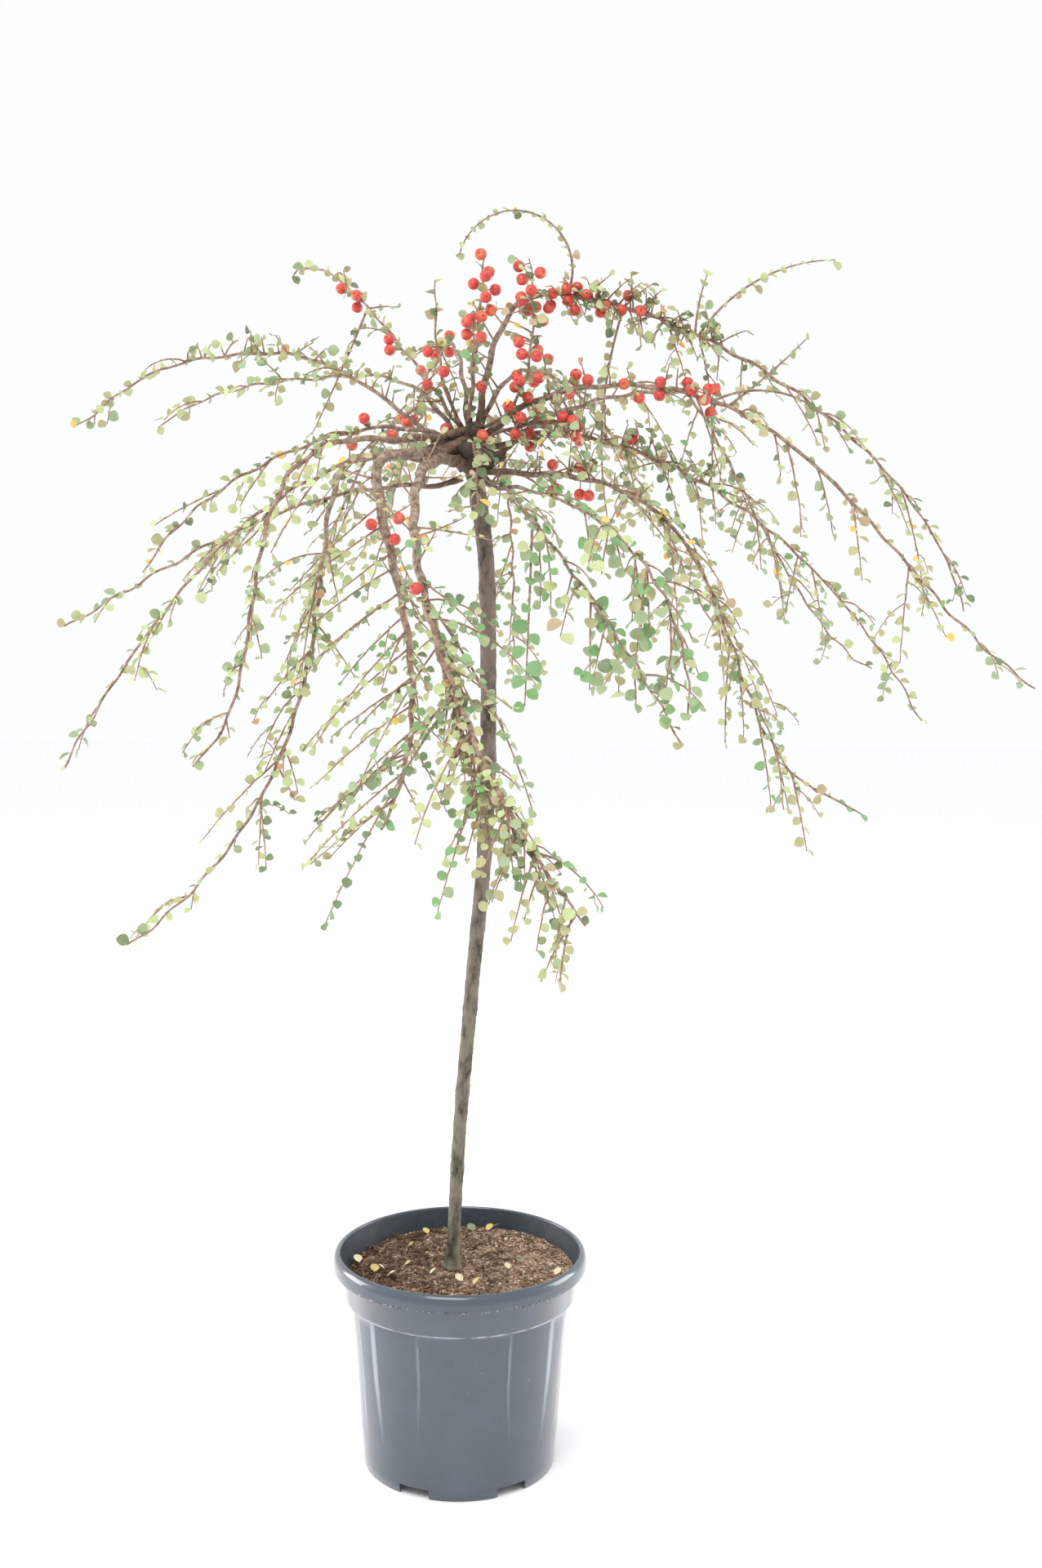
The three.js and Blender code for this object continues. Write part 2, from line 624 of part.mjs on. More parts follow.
// The pot's inside: [radius, height] from the floor up to the opening
function potInside() {
  const shoulderFoot = POT_HEIGHT - RIM_DEPTH - SHOULDER_DEPTH;
  return [
    [BASE_RADIUS + 1, FLOOR_HEIGHT + WALL],
    [WALL_TOP_RADIUS, shoulderFoot - 4],
    [SHOULDER_RADIUS - 1.5, shoulderFoot + 1],
    [SHOULDER_RADIUS, POT_HEIGHT - RIM_DEPTH - 2],
    [OPENING_RADIUS + WALL, POT_HEIGHT - RIM_DEPTH + 3],
    [OPENING_RADIUS + WALL, POT_HEIGHT - 3],
  ].map(([radius, height]) => [radius - WALL, height]);
}

function potSolid() {
  const shoulderFoot = POT_HEIGHT - RIM_DEPTH - SHOULDER_DEPTH;
  const outside = [
    [0, 0],
    [PAD_RADIUS, 0],
    [PAD_RADIUS + 2, FLOOR_HEIGHT],
    [BASE_RADIUS - WALL - 1, FLOOR_HEIGHT],
    [BASE_RADIUS - WALL, 0],
    [BASE_RADIUS, 0],
    [WALL_TOP_RADIUS, shoulderFoot - 4],
    [SHOULDER_RADIUS - 1.5, shoulderFoot],
    [SHOULDER_RADIUS, POT_HEIGHT - RIM_DEPTH],
    [RIM_RADIUS - 1, POT_HEIGHT - RIM_DEPTH],
    [RIM_RADIUS, POT_HEIGHT - RIM_DEPTH + 3],
    [RIM_RADIUS, POT_HEIGHT - 5],
    [RIM_RADIUS - 2, POT_HEIGHT - 1],
    [RIM_RADIUS - 4, POT_HEIGHT],
    [OPENING_RADIUS + 1.5, POT_HEIGHT],
  ];
  const profile = [...outside, ...potInside().reverse(), [0, FLOOR_HEIGHT + WALL]];
  const shell = new THREE.LatheGeometry(profile.map((p) => new THREE.Vector2(...p)), POT_SIDES);
  let solid = solidOf(shell.rotateX(Math.PI / 2));
  for (let i = 0; i < NOTCHES; i++) {
    const depth = BASE_RADIUS - PAD_RADIUS - 12;
    const notch = new THREE.BoxGeometry(depth, NOTCH_WIDTH, NOTCH_HEIGHT * 2);
    notch.translate(BASE_RADIUS + 5 - depth / 2, 0, 0);
    notch.rotateZ(FIRST_NOTCH + (2 * Math.PI * i) / NOTCHES);
    solid = solid.subtract(solidOf(notch));
  }
  return solid;
}

function soilSolid() {
  const inside = potInside();
  const at = (height) => {
    const i = inside.findIndex(([, z]) => z > height);
    const [lowRadius, low] = inside[i - 1];
    const [highRadius, high] = inside[i];
    return lowRadius + ((highRadius - lowRadius) * (height - low)) / (high - low);
  };
  const edge = SOIL_HEIGHT - 2;
  const wall = inside.filter(([, z]) => z < edge).map(([r, z]) => [r - CLEARANCE, z]);
  wall[0][1] += CLEARANCE;
  const profile = [
    [0, wall[0][1]],
    ...wall,
    [at(edge) - CLEARANCE, edge],
    [SHOULDER_RADIUS * 0.78, SOIL_HEIGHT + SOIL_HUMP],
    [SHOULDER_RADIUS * 0.5, SOIL_HEIGHT + SOIL_HUMP / 2],
    [SHOULDER_RADIUS * 0.3, SOIL_HEIGHT],
    [0, SOIL_HEIGHT],
  ];
  const fill = new THREE.LatheGeometry(profile.map((p) => new THREE.Vector2(...p)), POT_SIDES);
  return solidOf(fill.rotateX(Math.PI / 2));
}

const plant = new THREE.Group();
plant.add(meshOf(potSolid(), "pot", MATERIALS.pot));
plant.add(meshOf(soilSolid(), "soil", MATERIALS.soil));
plant.add(meshOf(stemSolid(), "trunk", MATERIALS.stem));

planSpaces();
const headWithGap = stemSolid(HEAD_GAP);
let seed = FIRST_SEED;
for (const [name, row] of Object.entries(BOUGHS)) {
  const { wood, stem } = spaces.get(name);
  const end = row.girth * BOUGH_TAPER;
  const bough = limb(wood, row.girth, end, BOUGH_SIDES).subtract(headWithGap);
  plant.add(meshOf(bough, "bough_" + name, MATERIALS.bough));
  stem[0] = { ...stem[0], place: stem[0].place.clone().addScaledVector(stem[0].along, CLEARANCE) };
  plant.add(meshOf(foliage(name, row, end, seed), "foliage_" + name, MATERIALS.foliage));
  seed += MASS_SEEDS;
}
for (const [name, row] of Object.entries(CROWN)) {
  const sprig = foliage(name, row, CROWN_RADIUS, seed).subtract(headWithGap);
  plant.add(meshOf(sprig, "foliage_" + name, MATERIALS.foliage));
  seed += MASS_SEEDS;
}

export default plant;
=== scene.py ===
"""Dresses a potted standard cotoneaster: its pot, soil and bark, and foliage grown by the source's rule."""

import functools
import math

import bpy
import numpy as np
from mathutils import Matrix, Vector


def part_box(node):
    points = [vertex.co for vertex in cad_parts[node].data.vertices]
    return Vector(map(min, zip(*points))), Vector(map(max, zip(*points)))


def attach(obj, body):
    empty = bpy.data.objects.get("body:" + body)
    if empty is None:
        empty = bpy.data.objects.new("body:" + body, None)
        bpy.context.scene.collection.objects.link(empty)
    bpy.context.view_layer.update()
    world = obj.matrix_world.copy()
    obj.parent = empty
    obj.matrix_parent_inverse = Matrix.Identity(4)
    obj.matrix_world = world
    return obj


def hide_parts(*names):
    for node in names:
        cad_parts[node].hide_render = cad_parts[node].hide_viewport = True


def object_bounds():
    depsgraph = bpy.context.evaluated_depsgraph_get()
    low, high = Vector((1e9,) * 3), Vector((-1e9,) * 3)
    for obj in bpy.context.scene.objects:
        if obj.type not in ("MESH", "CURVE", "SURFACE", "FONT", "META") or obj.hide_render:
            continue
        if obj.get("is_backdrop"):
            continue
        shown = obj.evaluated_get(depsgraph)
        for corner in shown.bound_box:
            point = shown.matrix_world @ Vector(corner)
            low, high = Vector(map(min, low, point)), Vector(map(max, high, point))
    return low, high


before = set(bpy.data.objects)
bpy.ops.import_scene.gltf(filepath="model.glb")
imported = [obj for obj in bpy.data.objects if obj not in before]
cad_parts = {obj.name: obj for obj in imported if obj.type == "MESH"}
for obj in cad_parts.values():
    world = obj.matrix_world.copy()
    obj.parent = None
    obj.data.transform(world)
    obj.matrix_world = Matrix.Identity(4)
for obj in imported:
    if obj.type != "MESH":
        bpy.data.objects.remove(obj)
CAD_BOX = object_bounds()

bl_info = {
    "name": "Potted Standard Cotoneaster",
    "version": (1, 0, 0),
    "blender": (4, 5, 0),
    "location": "View3D > Sidebar > Cotoneaster",
    "description": "Builds a weeping shrub with red berries, grafted on a clear stem in a nursery pot",
    "category": "Object",
}

BODY = "root"
MM = 0.001
UP = np.array((0.0, 0.0, 1.0))
BOUGH_NODES = sorted(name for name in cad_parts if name.startswith("bough_"))
FOLIAGE_NODES = sorted(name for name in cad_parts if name.startswith("foliage_"))

# The stem's middle in millimetres, from the soil to the graft, and the middle of the graft, as in the source
STEM_PATH = [
    (-9, 10, 205.3), (-2, 8, 345), (12, 5, 520), (26, 2, 690), (27, 1, 820), (21, 0, 985), (8, 0, 1062),
]
HEAD = (8, 0, 1062)
HEAD_RADIUS = 19
HEAD_HALF_HEIGHT = 32
ROOT_REACH = 8

# Each bough rises from its root to a crest and falls over a shoulder to its tip. Places are (reach, height)
# in millimetres, and az is the way it points: 0 is +X and 90 is +Y. sweep turns it sideways on its way to the
# tip, lean makes the rise slower, hang is the slope at the tip, and sway the length of that slope as a share
# of the way from the crest. The share limb of its length is bare wood, girth is its radius at the root, and
# side twigs are about spread long
BOUGH_COLUMNS = "az sweep root lean crest shoulder tip hang sway limb girth spread".split()
BOUGH_ROWS = {
    "right_top": (6, 0, 1084, 0.18, (75, 1218), 280, (515, 905), 75, 1 / 3, 0.2, 4.2, 110),
    "right_long": (-8, 0, 1068, 0.33, (150, 1127), 450, (560, 835), 33, 1 / 3, 0.2, 4.4, 100),
    "right_front": (-26, 0, 1046, 0.35, (65, 1040), 440, (370, 740), 30, 1 / 3, 0.24, 4, 120),
    "right_low": (20, 0, 1060, 0.74, (80, 1082), 335, (530, 776), 60, 1 / 3, 0.2, 3.6, 110),
    "right_back": (34, 0, 1038, 0.35, (272, 1132), 325, (560, 825), 22, 1 / 3, 0.26, 3.6, 110),
    "front_right": (-60, 6, 1062, 0.35, (55, 1030), 90, (330, 798), 55, 1 / 3, 0.16, 3, 90),
    "front_low": (-43, -16, 1038, 0.35, (48, 1026), 195, (380, 826), 73, 1 / 3, 0.17, 3, 100),
    "front_sweep": (-120, 46, 1054, 0.35, (55, 1052), 305, (395, 657), 48, 1 / 3, 0.42, 4.6, 130),
    "front_hang": (-131, -4, 1070, 0.42, (104, 1056), 240, (120, 690), 53, 0.55, 0.5, 5, 150),
    "left_steep": (219, 0, 1082, 0.35, (125, 1070), 390, (320, 768), 30, 1 / 3, 0.26, 3.4, 90),
    "left_long": (207, 0, 1050, 0.35, (110, 1056), 250, (358, 590), 32, 0.6, 0.3, 4.2, 120),
    "left_low": (197, 0, 1062, 0.35, (50, 1061), 290, (405, 755), 60, 1 / 3, 0.22, 3.4, 90),
    "left_wide": (185, 0, 1036, 0.35, (48, 1028), 250, (405, 885), 30, 1 / 3, 0.22, 3.2, 80),
    "left_short": (173, 0, 1062, 0.35, (80, 1086), 195, (340, 940), 60, 1 / 3, 0.24, 3.2, 70),
    "left_arch": (161, 0, 1044, 0.58, (220, 1164), 450, (455, 1090), 30, 1 / 3, 0.26, 3.8, 60),
    "left_upper": (149, 0, 1054, 0.28, (130, 1141), 290, (410, 1095), 30, 1 / 3, 0.28, 3.2, 60),
    "left_raised": (136, 0, 1080, 0.76, (245, 1263), 300, (280, 1256), 30, 1 / 3, 0.3, 3.2, 70),
    "back_right": (58, -8, 1066, 0.4, (110, 1150), 330, (450, 860), 50, 1 / 3, 0.24, 3.8, 110),
    "back_steep": (78, 6, 1048, 0.4, (70, 1105), 260, (400, 800), 60, 1 / 3, 0.22, 3.6, 110),
    "back_arch": (100, 8, 1074, 0.4, (130, 1180), 340, (450, 900), 55, 1 / 3, 0.24, 3.8, 110),
    "back_left": (122, 0, 1050, 0.4, (100, 1110), 300, (440, 810), 55, 1 / 3, 0.24, 3.6, 110),
}
BOUGHS = {name: dict(zip(BOUGH_COLUMNS, row)) for name, row in BOUGH_ROWS.items()}

# Long shoots off a bough: the share of its length where each starts, and its az, lift, bend and length
SHOOTS = {
    "right_top": [
        (0.25, 180, 115, 190, 190), (0.44, 5, 57, 56, 165), (0.435, 0, 88, 17, 60), (0.33, 150, -70, 40, 270),
    ],
    "right_long": [(0.395, 0, 36, -10, 100), (0.37, -10, 27, 91, 157)],
    "right_front": [(0.99, 10, -25, 5, 55)],
    "front_right": [(0.315, -100, -81, -5, 180)],
    "front_sweep": [(0.45, -20, -50, 22, 215)],
    "left_raised": [(0.59, 150, -63, -5, 150)],
}

# Short shoots that stand up out of the head itself: root, middle and tip in millimetres
CROWN = {
    "crown_upright": dict(path=[(6, -6, 1088), (14, -22, 1160), (22, -24, 1250)], spread=45),
    "crown_right": dict(path=[(16, -6, 1084), (62, -30, 1130), (66, -34, 1246)], spread=55),
    "crown_left": dict(path=[(0, -4, 1086), (-22, -8, 1145), (-26, -12, 1228)], spread=45),
    "crown_front": dict(path=[(20, -8, 1070), (65, -24, 1088), (122, -36, 1082)], spread=45),
    "crown_low": dict(path=[(10, -16, 1062), (14, -60, 1062), (18, -105, 1000)], spread=45),
    "crown_back": dict(path=[(8, 7, 1092), (10, 44, 1180), (12, 85, 1215)], spread=55),
}

# Berries on a bough or crown shoot: the share of its length and how many sit close together there
BERRIES = {
    "right_top": [(0.05, 1), (0.2, 3), (0.235, 4), (0.262, 5), (0.31, 3), (0.345, 2)],
    "right_long": [(0.19, 2), (0.24, 1), (0.28, 2), (0.31, 1), (0.34, 4), (0.365, 2)],
    "right_front": [(0.18, 2), (0.23, 3)],
    "right_low": [(0.08, 2), (0.15, 2), (0.27, 2)],
    "front_sweep": [(0.3, 1), (0.44, 1)],
    "front_hang": [(0.38, 2)],
    "left_short": [(0.06, 1), (0.19, 2), (0.28, 2)],
    "left_upper": [(0.18, 1)],
    "left_raised": [(0.4, 2), (0.6, 1), (0.66, 3)],
    "crown_upright": [(0.55, 3), (0.62, 3), (0.81, 1), (0.87, 3), (0.96, 2)],
    "crown_right": [(0.26, 3), (0.38, 2), (0.45, 2), (0.53, 3), (0.75, 3), (0.88, 1), (0.94, 2)],
    "crown_left": [(0.48, 2)],
    "crown_front": [(0.45, 1), (0.56, 2), (0.76, 2), (0.9, 2)],
    "crown_low": [(0.12, 1)],
    "back_right": [(0.25, 2), (0.32, 2)],
    "back_arch": [(0.3, 3), (0.42, 1)],
    "back_left": [(0.25, 2)],
}

# More side shoots that show in the photograph, in rows along a bough: from one share of it to another, how
# many, and the compass direction, lift and length of each as pairs: the least, and how much more at most.
# They all bend down by the same degrees
SPRAYS = {
    "right_top": [
        (0.3, 0.82, 8, (-100, 200), (-75, 35), (35, 90)),
        (0.23, 0.48, 60, (-150, 120), (-60, 140), (14, 28)),
    ],
    "right_long": [
        (0.3, 0.8, 8, (-120, 180), (-80, 35), (35, 85)),
        (0.12, 0.34, 14, (-150, 120), (-30, 110), (16, 34)),
    ],
    "right_front": [
        (0.3, 0.95, 13, (-130, 150), (-82, 40), (45, 75)),
        (0.08, 0.36, 26, (-130, 130), (-30, 90), (16, 30)),
    ],
    "right_low": [
        (0.25, 0.7, 8, (-120, 180), (-80, 35), (35, 70)),
        (0.06, 0.42, 54, (-150, 120), (-50, 120), (16, 34)),
    ],
    "right_back": [(0.25, 0.8, 5, (-60, 200), (-80, 35), (35, 65))],
    "front_right": [
        (0.25, 0.75, 4, (-140, 130), (-86, 20), (55, 85)),
        (0.45, 0.85, 4, (-140, 130), (-80, 40), (30, 45)),
    ],
    "front_low": [
        (0.3, 0.85, 6, (-130, 140), (-82, 30), (45, 70)),
        (0.45, 0.85, 5, (-130, 140), (-82, 40), (30, 45)),
    ],
    "front_sweep": [
        (0.28, 0.6, 7, (-80, 90), (-40, 45), (40, 60)),
        (0.45, 0.72, 12, (-40, 60), (-80, 30), (60, 60)),
        (0.5, 0.9, 27, (-90, 110), (-80, 40), (35, 50)),
        (0.5, 0.85, 6, (185, 50), (-58, 22), (60, 100)),
        (0.6, 1.0, 17, (160, 70), (-76, 22), (36, 46)),
        (0.6, 0.62, 1, (186, 6), (-56, 4), (225, 15)),
    ],
    "front_hang": [
        (0.33, 0.97, 18, (180, 32), (-44, 20), (70, 100)),
        (0.35, 0.9, 10, (-70, 60), (-60, 30), (35, 50)),
    ],
    "left_steep": [(0.2, 0.8, 5, (180, 100), (-75, 35), (40, 65))],
    "left_long": [
        (0.3, 0.75, 6, (180, 110), (-70, 35), (50, 80)),
        (0.4, 0.75, 3, (-90, 90), (-70, 30), (40, 60)),
    ],
    "left_low": [(0.2, 0.65, 4, (180, 90), (-60, 40), (35, 55))],
    "left_wide": [(0.2, 0.65, 5, (170, 110), (-60, 45), (35, 55))],
    "left_short": [(0.2, 0.7, 4, (170, 110), (-60, 45), (30, 50))],
    "left_arch": [(0.12, 0.72, 26, (0, 360), (25, 60), (8, 16))],
    "left_upper": [(0.15, 0.7, 3, (0, 360), (-40, 100), (15, 35))],
    "left_raised": [(0.1, 0.9, 3, (0, 360), (-30, 110), (12, 26))],
    "crown_front": [(0.2, 1.0, 24, (-150, 200), (-40, 100), (14, 26))],
    "crown_right": [(0.5, 0.95, 12, (0, 360), (-40, 100), (12, 18))],
    "crown_low": [(0.2, 0.95, 9, (0, 360), (-70, 90), (14, 24))],
    "back_right": [(0.2, 0.85, 6, (0, 180), (-75, 45), (45, 70))],
    "back_steep": [(0.2, 0.85, 7, (0, 180), (-75, 45), (45, 70))],
    "back_arch": [(0.2, 0.85, 7, (0, 180), (-75, 45), (45, 70))],
    "back_left": [(0.2, 0.85, 6, (0, 180), (-75, 45), (45, 70))],
}
SPRAY_BEND = 12

# Masses whose leaves are larger than the rest, and by how much
BIG_LEAVES = {
    "front_right": 1.42, "front_low": 1.34, "crown_low": 1.2, "left_arch": 1.2, "left_upper": 1.2,
    "left_low": 1.1, "left_wide": 1.1, "left_short": 1.15,
}

# How closely leaves stand on the stems themselves, where that differs from the rest
SPUR_DENSITY = {
    "right_long": 0.5, "right_back": 0.45, "right_top": 0.7, "left_arch": 1.25, "front_sweep": 1.2,
}

# The tints a spray may have, and how often, in each part of the crown. The darkest green is painted shade: a
# darker copy of sage that stands for leaves in shade
TINTS = {
    "sage": "#98a87f",
    "olive": "#b0ad80",
    "lime": "#b7c28c",
    "fresh": "#7da56d",
    "shaded_sage": "#748560",
    "tan": "#b09c7e",
    "gold": "#e0bd62",
    "rust": "#c0926b",
}
TINT_SHARES = {
    "left": dict(lime=4.4, sage=3, olive=2.4, shaded_sage=0.3),
    "right": dict(sage=3, olive=4, lime=1.8, tan=0.5, fresh=0.4, shaded_sage=0.9),
    "front": dict(fresh=6.8, sage=3.2, shaded_sage=1.2, lime=1.2, olive=0.9),
    "back": dict(sage=4, olive=3, lime=2.4, tan=0.4, shaded_sage=0.8),
    "sweep": dict(lime=2.6, sage=2.8, olive=3, tan=0.3, fresh=1.1, shaded_sage=0.8),
    "crown": dict(sage=2.2, olive=3.6, tan=1, shaded_sage=2, lime=0.5, gold=0.5, rust=0.5),
    "stray": dict(sage=2.6, olive=3, lime=2.8, tan=0.15, shaded_sage=0.8, gold=0.45, rust=0.15),
}
TINTS_OF = {"front_hang": "sweep", "front_sweep": "sweep"}

# The share of leaves that stray from their spray's tint, and the shares that they stray by
STRAY_TINT = 0.3
STRAY_OF = {"fresh": "front", "shaded_sage": "front"}

# The source's growth rule. What varies by seed is a pair: the least, and how much more at most
FIRST_SEED = 7
MASS_SEEDS = 1000
TWIG_SEEDS = 101
BOUGH_TAPER = 0.62
TWIG_SPACING = 104
TWIG_FIRST = 0.35
TWIG_ANGLE = (38, 30)
TWIG_RISE = (0.15, 0.35)
TWIG_DROOP = 1.19
TWIG_LENGTH = (0.75, 0.5)
TWIG_FADE = 0.45
TWIG_CUTS = (1, 0.7, 0.5)
TWIG_STEPS = 3
SHOOT_STEPS = 5
SPACE_MARGIN = 1.5
LIMB_MARGIN = 1.2
LEAFY_STEM_STEP = 74
BOUGH_STEP = 45
CROWN_STEP = 37
RISE_POINTS = 14
FALL_POINTS = 30
CROWN_POINTS = 12
TRUNK_POINTS = 25
TRUNK_RADIUS = 8.8

# How far the rule is carried on here, to life size: steps and spacings in millimetres, and shares of a length
FINE_SEEDS = 500000
LINE_STEP = 7
WOOD_WIGGLE = 1.3
WOOD_WAVES = (47, 61, 53)
WIGGLE_RAMP = 25
WOOD_OVERLAP = 0.01
SIDE_TWIG_SPACING = 42
SIDE_TWIG_FIRST = 0.02
SIDE_TWIG_REACH = (0.16, 0.6)
SIDE_TWIG_FADE = 0.75
SIDE_TWIG_THINNING = 0.35
SHOOT_TWIG_SPACING = 46
SHOOT_SPREAD = 0.3
BUD_BEND = 0.35
LONG_TWIG = 55
TWIGLET_SPACING = 24
TWIGLET_REACH = (14, 26)
TWIGLET_SHARE = 0.22
TWIGLET_STEPS = 4
TWIGLET_FIRST = 0.7
TWIGLET_BEYOND = 0.4

# Short shoots on bare wood: their spacing, fewer at the left and the back, and how they stand off it
WOOD_SHOOT_SPACING = 24
WOOD_SHOOTS_BEHIND = 0.3
WOOD_SHOOT_FIRST = 0.22
WOOD_SHOOT_REACH = (14, 38)
WOOD_SHOOT_LIFT = 0.3
WOOD_SHOOT_SQUARE = 0.6
WOOD_SHOOT_BEND = 0.12
WOOD_SHOOT_STEPS = 4

# Radii in millimetres at the root and the tip of each kind of line
RADII = {
    "crown": (2.0, 0.6),
    "shoot": (1.4, 0.6),
    "wood_shoot": (1.1, 0.5),
    "spray": (1.1, 0.5),
    "source_twig": (1.15, 0.5),
    "side_twig": (1.0, 0.5),
    "twiglet": (0.65, 0.42),
    "stalk": (0.5, 0.5),
}

# How thick the bare wood is for the source's limb, and the stems' tips in millimetres, where they differ
BARE_WOOD = 0.88
THICK_WOOD = {
    "front_hang": 1.25, "front_sweep": 1.25, "left_steep": 1.2, "left_upper": 0.72, "left_raised": 0.72,
    "left_arch": 0.8, "back_arch": 0.72, "back_left": 0.72, "back_right": 0.75, "back_steep": 0.75,
}
STEM_TIP = 0.9
THICK_TIPS = {"front_hang": 1.5, "front_sweep": 1.0, "left_steep": 1.1}

# Leaves along a line: the share of it that is bare at its root, and their size there as a share of the usual
# one. A long shoot that arches up has small leaves in double rows
BARE_ROOT = {"twig": 0.08, "twiglet": 0.15, "shoot": 0.1, "wood_shoot": 0.45}
SIZE_ON = {"twiglet": 0.85, "shoot": 1.1, "arching": 0.72, "wood_shoot": 0.78}
ARCHING_LIFT = 60
ARCHING_LENGTH = 100
LEAF_SIZE = (0.65, 0.4)
LEAF_FIRST = 0.8
LAST_LEAF = 0.99

# Leaves on the spurs of a stem: their spacing as a share of that on twigs, how many at most stand together,
# how they turn about the stem, and their size at its root and how much more it is at its tip
SPUR_SPACING = 1.05
SPUR_CLUSTER = 2.7
SPUR_BELOW = 0.35
SPUR_TURN = 2.6
SPUR_LEAF = (0.85, 0.3)

# How a leaf stands: its angle to the twig and its turn about it in radians, how far its axis strays, and how
# much its face turns up, away from the stem, and at random
LEAF_ANGLE = math.radians(52)
LEAF_TURN = 1.25
LEAF_STRAY = 0.35
FACE_UP = 0.5
FACE_OUT = 0.6
FACE_STRAY = 1.1
BLADE_MIDDLE = 0.6

# Berries round a place: how often one is tried, the length of a cluster in millimetres, the way they lean,
# and in radii the length of a stalk and the least distance between two middles
BERRY_TRIES = 40
CLUSTER_LENGTH = 28
BERRY_LEAN = (0, -0.12, -0.08)
BERRY_STALK = (1.5, 1.1)
BERRY_DISTANCE = 1.9

# A leaf's outline from its stalk to its tip: shares of its length, and half widths as shares of its width
LEAF_OUTLINE = [(0, 0.02), (0.13, 0.03), (0.2, 0.22), (0.34, 0.42), (0.54, 0.5), (0.74, 0.43), (0.9, 0.25)]
LEAF_FOLD = 0.34
LEAF_CURL = 0.14


# Colours and materials


def linear(hexcode):
    """A sRGB hex value as a linear colour with full alpha."""
    channels = [int(hexcode[i : i + 2], 16) / 255 for i in (1, 3, 5)]
    return (*[c / 12.92 if c <= 0.04045 else ((c + 0.055) / 1.055) ** 2.4 for c in channels], 1.0)


def shade(colour, factor):
    """A linear colour made darker or paler."""
    return (*[min(1, c * factor) for c in colour[:3]], 1.0)


def add_node(tree, kind, inputs=None, stops=(), to=None, **settings):
    """Adds a shader node with its settings and links.

    An input is a value, a socket, or a node whose first output is taken. Stops are a ramp's places and
    colours. The new node's first output goes to the socket given as to.
    """
    node = tree.nodes.new("ShaderNode" + kind)
    for name, value in settings.items():
        setattr(node, name, value)
    for name, value in (inputs or {}).items():
        if isinstance(value, bpy.types.Node):
            value = value.outputs[0]
        if isinstance(value, bpy.types.NodeSocket):
            tree.links.new(value, node.inputs[name])
        else:
            node.inputs[name].default_value = value
    for i, (place, colour) in enumerate(stops):
        element = node.color_ramp.elements[i] if i < 2 else node.color_ramp.elements.new(place)
        element.position, element.color = place, colour
    if to is not None:
        tree.links.new(node.outputs[0], to)
    return node


def new_material(name, colour, roughness, **inputs):
    """A material of one shader. Its name says the real material."""
    material = bpy.data.materials.new(name)
    material.use_nodes = True
    shader = material.node_tree.nodes["Principled BSDF"]
    shader.inputs["Base Color"].default_value = colour
    shader.inputs["Roughness"].default_value = roughness
    for socket, value in inputs.items():
        shader.inputs[socket.replace("_", " ")].default_value = value
    material.diffuse_color = colour
    return material


def patterned(name, colour, roughness, **inputs):
    """A material for patterns, with its tree, the place on the piece, and the sockets that they feed."""
    material = new_material(name, colour, roughness, **inputs)
    tree = material.node_tree
    place = add_node(tree, "TexCoord").outputs["Object"]
    sockets = tree.nodes["Principled BSDF"].inputs
    return material, tree, place, sockets["Base Color"], sockets["Normal"]


